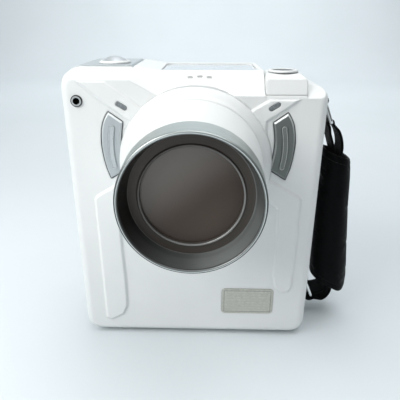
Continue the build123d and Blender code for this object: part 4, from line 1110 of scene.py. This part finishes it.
# ------------------------------------------------------------------ padded sleeve
# middle line of the sleeve from its top to its lower mouth, (x, z)
SLEEVE_LINE = [(91.45, 121.2), (92.3, 104.0), (92.8, 86.0), (93.9, 68.0), (95.1, 50.0),
               (96.2, 36.0), (96.9, 23.4)]
# half sizes along the sleeve, one column per station
STATION = (0.0, 0.30, 0.62, 1.0)         # fraction of the length
HALF_X = (9.0, 10.4, 11.5, 12.6)
HALF_Y = (12.2, 13.2, 13.4, 12.6)
SLEEVE_WALL = 2.3
AROUND = 56                              # points in a ring
OUTER_RINGS, LINING_RINGS = 84, 30
HEMS = (4, OUTER_RINGS - 5)              # rings of the hem stitches
SEAM = (13, 14, 15)                      # columns of the long seam at the rear

rail = spline(SLEEVE_LINE, 64)
_, rail_out = sides(rail)


def sleeve_point(f, angle, shrink=0.0):
    """A wall point: f along the sleeve, angle round it, shrink inwards."""
    run = np.linspace(0, 1, len(rail))
    centre, out = sample(rail, run, f), sample(rail_out, run, f)
    half_x = np.interp(f, STATION, HALF_X) - shrink
    half_y = np.interp(f, STATION, HALF_Y) - shrink
    c, s = math.cos(angle), math.sin(angle)
    power = 2.0 / 2.25                   # a slightly squared ellipse
    across = math.copysign(abs(c) ** power, c) * half_x
    y = math.copysign(abs(s) ** power, s) * half_y
    # the sleeve is cut on a slant: its body side sits higher, and the lower mouth is shaped
    drop = (3.9 + 2.2 * f) * c
    if f > 0.88:
        g = (f - 0.88) / 0.12
        drop += 1.6 * g * math.exp(-((c - 0.35) / 0.45) ** 2) - 2.6 * g * max(c - 0.6, 0.0)
        across -= 1.3 * g * g * max(c, 0.0)
    down = np.array([out[1], -out[0]])
    x, z = centre + out * across + down * drop
    return x, y, z


def sleeve_grid():
    """Outer wall down, lining up: a tube closed on itself through both mouths."""
    angles = np.linspace(0, 2 * math.pi, AROUND, endpoint=False)
    rows = [[sleeve_point(f, a) for a in angles] for f in np.linspace(0, 1, OUTER_RINGS)]
    rows += [[sleeve_point(f, a, SLEEVE_WALL) for a in angles]
             for f in np.linspace(0.995, 0.005, LINING_RINGS)]
    return np.array(rows)


def sleeve_pins():
    """Pin weights: lining and mouths held, then hem stitches, then the long seam."""
    last = OUTER_RINGS - 1
    pins = {}
    for i in range(OUTER_RINGS + LINING_RINGS):
        for a in range(AROUND):
            if i > last or i in (0, 1, last, last - 1):
                pins[i * AROUND + a] = 1.0
            elif i in HEMS:
                pins[i * AROUND + a] = 0.9
            elif a in SEAM:
                pins[i * AROUND + a] = 0.95
    return pins


SOLVER_SCALE = 10.0                      # the cloth solver works at ten times size
INFLATE_FRAMES = 20
MOST_MOVE = 0.5 * MM                     # furthest a point may travel
CLOTH = dict(
    quality=6, mass=0.35,
    tension_stiffness=18, compression_stiffness=18, shear_stiffness=8, bending_stiffness=0.6,
    tension_damping=8, compression_damping=8, shear_damping=8,
    vertex_group_mass="pin", pin_stiffness=1.0,
    use_pressure=True, uniform_pressure_force=3.2,
    shrink_min=-0.02,                    # negative lets the cloth swell
)


def inflate(points, faces, pins):
    """Runs the cloth solver on a closed skin with pinned points; returns the settled points."""
    obj = mesh_object("cloth_work", points * SOLVER_SCALE, faces)
    mesh = obj.data
    group = obj.vertex_groups.new(name="pin")
    for index, weight in pins.items():
        group.add([index], weight, "REPLACE")
    modifier = obj.modifiers.new("cloth", "CLOTH")
    for key, value in CLOTH.items():
        setattr(modifier.settings, key, value)
    modifier.settings.effector_weights.gravity = 0.0
    modifier.collision_settings.use_collision = False
    modifier.collision_settings.use_self_collision = False
    modifier.point_cache.frame_start, modifier.point_cache.frame_end = 1, INFLATE_FRAMES
    scene = bpy.context.scene
    for frame in range(1, INFLATE_FRAMES + 1):
        scene.frame_set(frame)
    result = obj.evaluated_get(bpy.context.evaluated_depsgraph_get())
    settled = np.array([v.co for v in result.data.vertices], float) / SOLVER_SCALE
    scene.frame_set(1)
    bpy.data.objects.remove(obj)
    bpy.data.meshes.remove(mesh)
    move = settled - points
    length = np.linalg.norm(move, axis=1)
    return points + move * np.minimum(1.0, MOST_MOVE / np.maximum(length, 1e-9))[:, None]


def build_sleeve():
    """Builds the sleeve and returns its grid of points in mm."""
    grid = sleeve_grid()
    points = grid.reshape(-1, 3) * MM
    faces = skin(len(grid), AROUND)
    points = inflate(points, faces, sleeve_pins())
    sleeve = place("strap_sleeve", points, faces, "leatherette", "strap")
    sleeve.data.materials.append(LOOKS["sleeve_lining"])
    for poly in sleeve.data.polygons:
        if min(v // AROUND for v in poly.vertices) > OUTER_RINGS:
            poly.material_index = 1
    smooth = sleeve.modifiers.new("smooth", "SUBSURF")
    smooth.levels = smooth.render_levels = 1
    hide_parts("strap_pad")
    return points.reshape(grid.shape) / MM


def sew_sleeve(grid):
    """Stitched hems near both mouths and a row on each side of the long seam."""
    centres = grid[:OUTER_RINGS].mean(axis=1)
    all_round = list(range(AROUND)) + [0]
    all_along = np.arange(5, OUTER_RINGS - 5)
    for name, rings, columns in (
        ("sleeve_hem_top", HEMS[0], all_round),
        ("sleeve_hem_bottom", HEMS[1], all_round),
        ("sleeve_seam_a", all_along, SEAM[0] - 1),
        ("sleeve_seam_b", all_along, SEAM[-1] + 1),
    ):
        points = grid[rings, columns]
        normals = points - centres[rings]
        normals /= np.linalg.norm(normals, axis=1)[:, None]
        stitch_run(name, points, normals, length=1.9, width=0.38, gap=0.8, lift=0.10)


sew_sleeve(build_sleeve())


# ------------------------------------------------------------------ trigger spring
def build_spring():
    """A coil that stands in the CAD spring's box."""
    wire, margin, turns = 0.34, 0.35, 4.0
    steps, around = 200, 10
    low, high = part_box("trigger_spring")
    x, y = (low.x + high.x) / 2 / MM, (low.y + high.y) / 2 / MM
    radius = (high.x - low.x) / 2 / MM - margin
    bottom, top = low.z / MM + margin, high.z / MM - margin
    lift = np.array([0.0, 0.0, 1.0])
    verts = []
    for i in range(steps + 1):
        a = 2 * math.pi * turns * i / steps
        centre = np.array([x + radius * math.cos(a), y + radius * math.sin(a),
                           bottom + (top - bottom) * i / steps])
        radial = np.array([math.cos(a), math.sin(a), 0.0])
        for b in range(around):
            t = 2 * math.pi * b / around
            verts.append((centre + (radial * math.cos(t) + lift * math.sin(t)) * wire) * MM)
    faces = skin(steps + 1, around, closed=False)
    faces.append(tuple(range(around)))
    faces.append(tuple(range(steps * around + around - 1, steps * around - 1, -1)))
    coil = place("trigger_coil", verts, faces, "spring_steel", "casing")
    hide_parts("trigger_spring")
    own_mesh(coil)


build_spring()


# ------------------------------------------------------------------ trims on the front
# right-hand panel, (x, z): its outer border from the top down, then its inner border up
PANEL_OUTER = [(52.6, 152.6), (56.2, 146.0), (57.6, 137.2), (57.5, 130.4), (56.2, 121.2),
               (53.8, 113.1)]
PANEL_INNER = [(43.9, 119.4), (45.7, 127.6), (46.3, 135.1), (45.6, 141.8), (44.7, 147.0)]
PANEL_EDGE_X = 57.67                     # x of the panel's outermost edge in these outlines
# middle line of the right-hand light bar from the top down, (x, z)
BAR_LINE = [(50.9, 144.6), (52.0, 136.5), (52.1, 128.6), (51.0, 120.4)]
BAR_LINE_MIDDLE = 2.05                   # x midway between the bars in this table
SIDES = ((-1, "left"), (1, "right"))     # (sign of x, name)


def bead(name, path, radius, look):
    """A thin closed bead along a path of (x, y, z) that lies in a plane facing forwards."""
    around = 8
    path = np.array(path, float)
    front = np.array([0.0, -1.0, 0.0])
    verts = []
    for point, tangent in zip(path, loop_tangents(path)):
        side = unit(np.cross(tangent, front))
        for a in range(around):
            t = 2 * math.pi * a / around
            verts.append((point + side * math.cos(t) * radius + front * math.sin(t) * radius) * MM)
    place(name, verts, skin(len(path), around), look, "casing")


def build_panel_gap(sign, side):
    """A dark bead in the gap round a side panel: painted shade for the gap's shadow."""
    low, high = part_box("side_panel_" + side)
    edge_x = (high.x if sign > 0 else low.x) / MM
    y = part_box("side_panel_left")[0].y / MM + 1.05
    outer, inner = ([(edge_x + sign * (x - PANEL_EDGE_X), z) for x, z in points]
                    for points in (PANEL_OUTER, PANEL_INNER))
    loop = even(np.vstack([spline(outer, 60), spline(inner, 46)]), 0.7)
    outward = loop - loop.mean(axis=0)
    outward /= np.linalg.norm(outward, axis=1)[:, None]
    path = [(x, y, z) for x, z in loop + 0.24 * outward]
    bead("panel_gap_" + side, path, radius=0.25, look="gap_dark")


def build_bar_rim(sign, side):
    """The pill-shaped rim of a light bar."""
    half_width, end_inset = 1.2, 0.6
    low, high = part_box("light_bars")
    middle = (low.x + high.x) / 2 / MM
    line = spline([(middle + sign * (x - BAR_LINE_MIDDLE), z) for x, z in BAR_LINE], 40)
    along, across = sides(line)

    def round_end(centre, start):
        first = math.atan2(start[1], start[0])
        return [centre + half_width * np.array([math.cos(first - t), math.sin(first - t)])
                for t in np.linspace(0.15, math.pi - 0.15, 7)]

    loop = [line[i] + across[i] * half_width for i in range(1, 39)]
    loop += round_end(line[-1] - along[-1] * end_inset, across[-1])
    loop += [line[i] - across[i] * half_width for i in range(38, 0, -1)]
    loop += round_end(line[0] + along[0] * end_inset, -across[0])
    path = [(x, low.y / MM - 0.02, z) for x, z in even(np.array(loop), 0.5)]
    bead("bar_rim_" + side, path, radius=0.24, look="bar_rim")


for sign, side in SIDES:
    build_panel_gap(sign, side)
for sign, side in SIDES:
    build_bar_rim(sign, side)


@material
def sounder_gauze(look):
    grain = look.noise(scale=5200.0, rough=0.6)
    look.put(
        color=look.tones(grain, (0.40, 0.40, 0.39), (0.56, 0.56, 0.55)),
        rough=0.7, spec=0.2,
        normal=look.bump(grain, strength=0.4, depth=0.00006),
    )


def build_gauze():
    """Pale gauze behind the three sounder slots, on the leaning surface above the front."""
    middle_x, middle_z = 2.9, 170.4
    pitch, rise = 5.4, 0.2               # the middle slot sits higher than the outer two
    half_straight, radius = 1.12, 0.36   # of a slot
    lean_z, lean = 161.7, (15.8, 12.1)   # foot of the leaning surface; its (run back, rise)
    sunk, thick = 0.22, 1.6
    count = 20
    verts, faces = [], []
    for dx, dz in ((-pitch, -rise), (0.0, rise), (pitch, -rise)):
        outline = []
        for a in range(count):
            t = 2 * math.pi * a / count
            end = half_straight if math.cos(t) > 0 else -half_straight
            outline.append((middle_x + dx + end + radius * math.cos(t),
                            middle_z + dz + radius * math.sin(t)))
        base = len(verts)
        for back in (0.0, thick):
            for x, z in outline:
                y = FRONT + (z - lean_z) * lean[0] / lean[1] + sunk + back
                verts.append((x * MM, y * MM, z * MM))
        faces.append(tuple(range(base, base + count)))
        faces.append(tuple(range(base + 2 * count - 1, base + count - 1, -1)))
        faces += skin(2, count, closed=False, base=base)
    place("sounder_gauze", verts, faces, "sounder_gauze", "casing", smooth=False)


build_gauze()

# section of the cove: (radius from the beam axis, y from the casing's front)
COVE = [(39.2, -1.0), (38.85, -8.6), (39.02, -8.2), (39.35, -6.9), (39.9, -5.7), (40.7, -4.7),
        (41.7, -3.9), (42.8, -3.1), (43.7, -2.2), (44.5, -1.0), (45.1, 0.2), (44.3, 0.2),
        (42.6, -2.2), (40.6, -3.0)]


def build_cove():
    """Soft radius over the joint where the cone meets the front."""
    turns = 160
    verts = []
    for i in range(turns):
        a = 2 * math.pi * i / turns
        for radius, y in COVE:
            verts.append(((BEAM[0] / MM + radius * math.cos(a)) * MM, (FRONT + y) * MM,
                          (BEAM[2] / MM + radius * math.sin(a)) * MM))
    place("cone_cove", verts, skin(turns, len(COVE)), "white_shell", "casing")


build_cove()


# ------------------------------------------------------------------ rear key marks
def build_mark(key, outline, hole=None):
    """A thin raised mark on a key, from an outline about its centre as seen from the rear."""
    crown, root, taper = 0.14, -0.06, 0.93
    low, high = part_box("key_" + key)
    middle_x, middle_z = (low.x + high.x) / 2, (low.z + high.z) / 2
    count = len(outline)
    if hole is None:
        top = [(x * taper, z * taper) for x, z in outline]
        rings = [(top, crown), (outline, root)]
        order = (1, 0)
        faces = [tuple(range(count))]
    else:
        rings = [(outline, crown), (outline, root), (hole, crown), (hole, root)]
        order = (1, 0, 2, 3)             # up the outside, across, down the hole
        faces = []
    verts = [(middle_x - x * MM, high.y + depth * MM, middle_z + z * MM)
             for ring, depth in rings for x, z in ring]
    for i in range(count):
        j = (i + 1) % count
        for a, b in zip(order, order[1:]):
            faces.append((a * count + i, a * count + j, b * count + j, b * count + i))
    place("mark_" + key, verts, faces, "key_mark", key + "_key", smooth=False)


def circle(radius, count=28):
    return [(radius * math.cos(2 * math.pi * i / count), radius * math.sin(2 * math.pi * i / count))
            for i in range(count)]


def rounded(points, radius=0.35, steps=4):
    """A polygon with each corner replaced by a short curve."""
    outline = []
    for i in range(len(points)):
        before, corner, after = (np.array(points[(i + k) % len(points)], float)
                                 for k in (-1, 0, 1))
        start = corner + unit(before - corner) * radius
        end = corner + unit(after - corner) * radius
        for t in np.linspace(0, 1, steps):
            outline.append((1 - t) ** 2 * start + 2 * t * (1 - t) * corner + t ** 2 * end)
    return outline


build_mark("up", rounded([(-2.2, -1.3), (2.2, -1.3), (0, 1.9)]))
build_mark("down", rounded([(-2.2, 1.3), (0, -1.9), (2.2, 1.3)]))
build_mark("mode", rounded([(-2.3, -0.45), (2.3, -0.45), (2.3, 0.45), (-2.3, 0.45)], radius=0.3))
build_mark("set", circle(2.1), hole=circle(1.45))


# ------------------------------------------------------------------ stage, in metres
@material
def studio_paper(look):
    tone = look.noise(scale=2.2, detail=3.0)
    fibre = look.noise(scale=900.0, detail=3.0, rough=0.6)
    look.put(
        color=look.tones(tone, (0.655, 0.705, 0.73), (0.70, 0.745, 0.77)),
        rough=0.62, spec=0.25,
        normal=look.bump(fibre, strength=0.05, depth=0.0001),
    )


def build_sweep():
    """Floor that bends up into a backdrop behind the product."""
    half_width, near, bend, radius, top = 2.4, -2.2, 1.3, 0.7, 2.6
    floor_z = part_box("feet")[0].z
    profile = [(y, 0.0) for y in np.linspace(near, bend, 26)]
    profile += [(bend + radius * math.sin(a), radius - radius * math.cos(a))
                for a in np.linspace(0.12, math.pi / 2, 12)]
    profile += [(bend + radius, z) for z in np.linspace(0.9, top, 6)]
    columns = np.linspace(-half_width, half_width, 25)
    verts = [(x, y, floor_z + z) for y, z in profile for x in columns]
    faces = sheet(len(profile), len(columns))
    place("studio_sweep", verts, faces, "studio_paper")


build_sweep()


@material
def flag_card(look):
    mottle = look.noise(scale=60.0)
    look.put(color=look.mix(mottle, (0.02, 0.022, 0.024), (0.035, 0.037, 0.04)), rough=0.8)


def build_card(name, centre, width, height, toward):
    """A stage card that shapes reflections and is not seen by the camera."""
    cells = 6
    centre = Vector(centre)
    facing = (Vector(toward) - centre).normalized()
    side = Vector((0, 0, 1)).cross(facing).normalized()
    up = facing.cross(side)
    verts = [centre + side * (width * (i / cells - 0.5)) + up * (height * (j / cells - 0.5))
             for j in range(cells + 1) for i in range(cells + 1)]
    card = place(name, verts, sheet(cells + 1, cells + 1), "flag_card")
    card.visible_camera = False


build_card("flag_right", centre=(0.27, -0.42, 0.10), width=0.40, height=0.26,
           toward=(0.05, -0.03, 0.12))


# ------------------------------------------------------------------ lights and world
def softbox(name, location, target, width, height, power, colour):
    light = bpy.data.lights.new(name, "AREA")
    light.shape = "RECTANGLE"
    light.size, light.size_y = width, height
    light.energy = power
    light.color = colour
    obj = bpy.data.objects.new(name, light)
    obj.location = location
    obj.rotation_mode = "QUATERNION"
    aim = Vector(location) - Vector(target)
    obj.rotation_quaternion = aim.to_track_quat("Z", "Y")
    bpy.context.scene.collection.objects.link(obj)


softbox("key_light", location=(-0.40, -0.30, 0.44), target=(-0.02, -0.02, 0.10),
        width=0.40, height=0.40, power=2.75, colour=(1.0, 1.0, 0.99))
softbox("top_light", location=(0.18, -0.05, 1.00), target=(0.0, 0.0, 0.10),
        width=0.9, height=0.9, power=6.2, colour=(0.97, 0.99, 1.0))
softbox("front_fill", location=(-0.25, -1.25, 0.45), target=(0.0, 0.0, 0.09),
        width=0.9, height=0.9, power=1.4, colour=(0.97, 0.99, 1.0))
softbox("rim_right", location=(0.75, 0.25, 0.30), target=(0.09, 0.0, 0.08),
        width=0.35, height=0.6, power=0.25, colour=(0.94, 0.98, 1.0))
softbox("backdrop_light", location=(0.0, 0.95, 1.25), target=(0.0, 1.75, 0.35),
        width=1.6, height=0.7, power=18.0, colour=(0.96, 0.985, 1.0))


def build_world():
    """A faint pale gradient."""
    world = bpy.data.worlds.new("studio_air")
    bpy.context.scene.world = world
    world.use_nodes = True
    nodes, links = world.node_tree.nodes, world.node_tree.links
    nodes.clear()
    output = nodes.new("ShaderNodeOutputWorld")
    background = nodes.new("ShaderNodeBackground")
    gradient = nodes.new("ShaderNodeTexGradient")
    mapping = nodes.new("ShaderNodeMapping")
    coord = nodes.new("ShaderNodeTexCoord")
    ramp = nodes.new("ShaderNodeValToRGB")
    mapping.inputs["Rotation"].default_value = (0.0, math.radians(90), 0.0)
    ramp.color_ramp.elements[0].color = (0.74, 0.78, 0.80, 1)
    ramp.color_ramp.elements[1].color = (0.90, 0.93, 0.95, 1)
    background.inputs["Strength"].default_value = 0.32
    links.new(coord.outputs["Generated"], mapping.inputs["Vector"])
    links.new(mapping.outputs["Vector"], gradient.inputs["Vector"])
    links.new(gradient.outputs["Fac"], ramp.inputs["Fac"])
    links.new(ramp.outputs["Color"], background.inputs["Color"])
    links.new(background.outputs["Background"], output.inputs["Surface"])


build_world()

view = bpy.context.scene.view_settings
view.view_transform = "Standard"
view.look = "None"
view.exposure = 0.0
view.gamma = 1.0


# ------------------------------------------------------------------ camera
def build_camera():
    """In front of the product and above it, looking down at it."""
    data = bpy.data.cameras.new("camera")
    data.sensor_width = 36.0
    data.lens = 38.593
    data.clip_start, data.clip_end = 0.01, 20.0
    camera = bpy.data.objects.new("camera", data)
    bpy.context.scene.collection.objects.link(camera)
    right = Vector((0.99971, 0.02405, 0.00170))
    up = Vector((-0.01083, 0.38485, 0.92292))
    back = Vector((0.02154, -0.92267, 0.38500))
    spot = Vector((8.949, -274.708, 199.914)) * MM
    camera.matrix_world = Matrix((*zip(right, up, back, spot), (0, 0, 0, 1)))
    bpy.context.scene.camera = camera


build_camera()
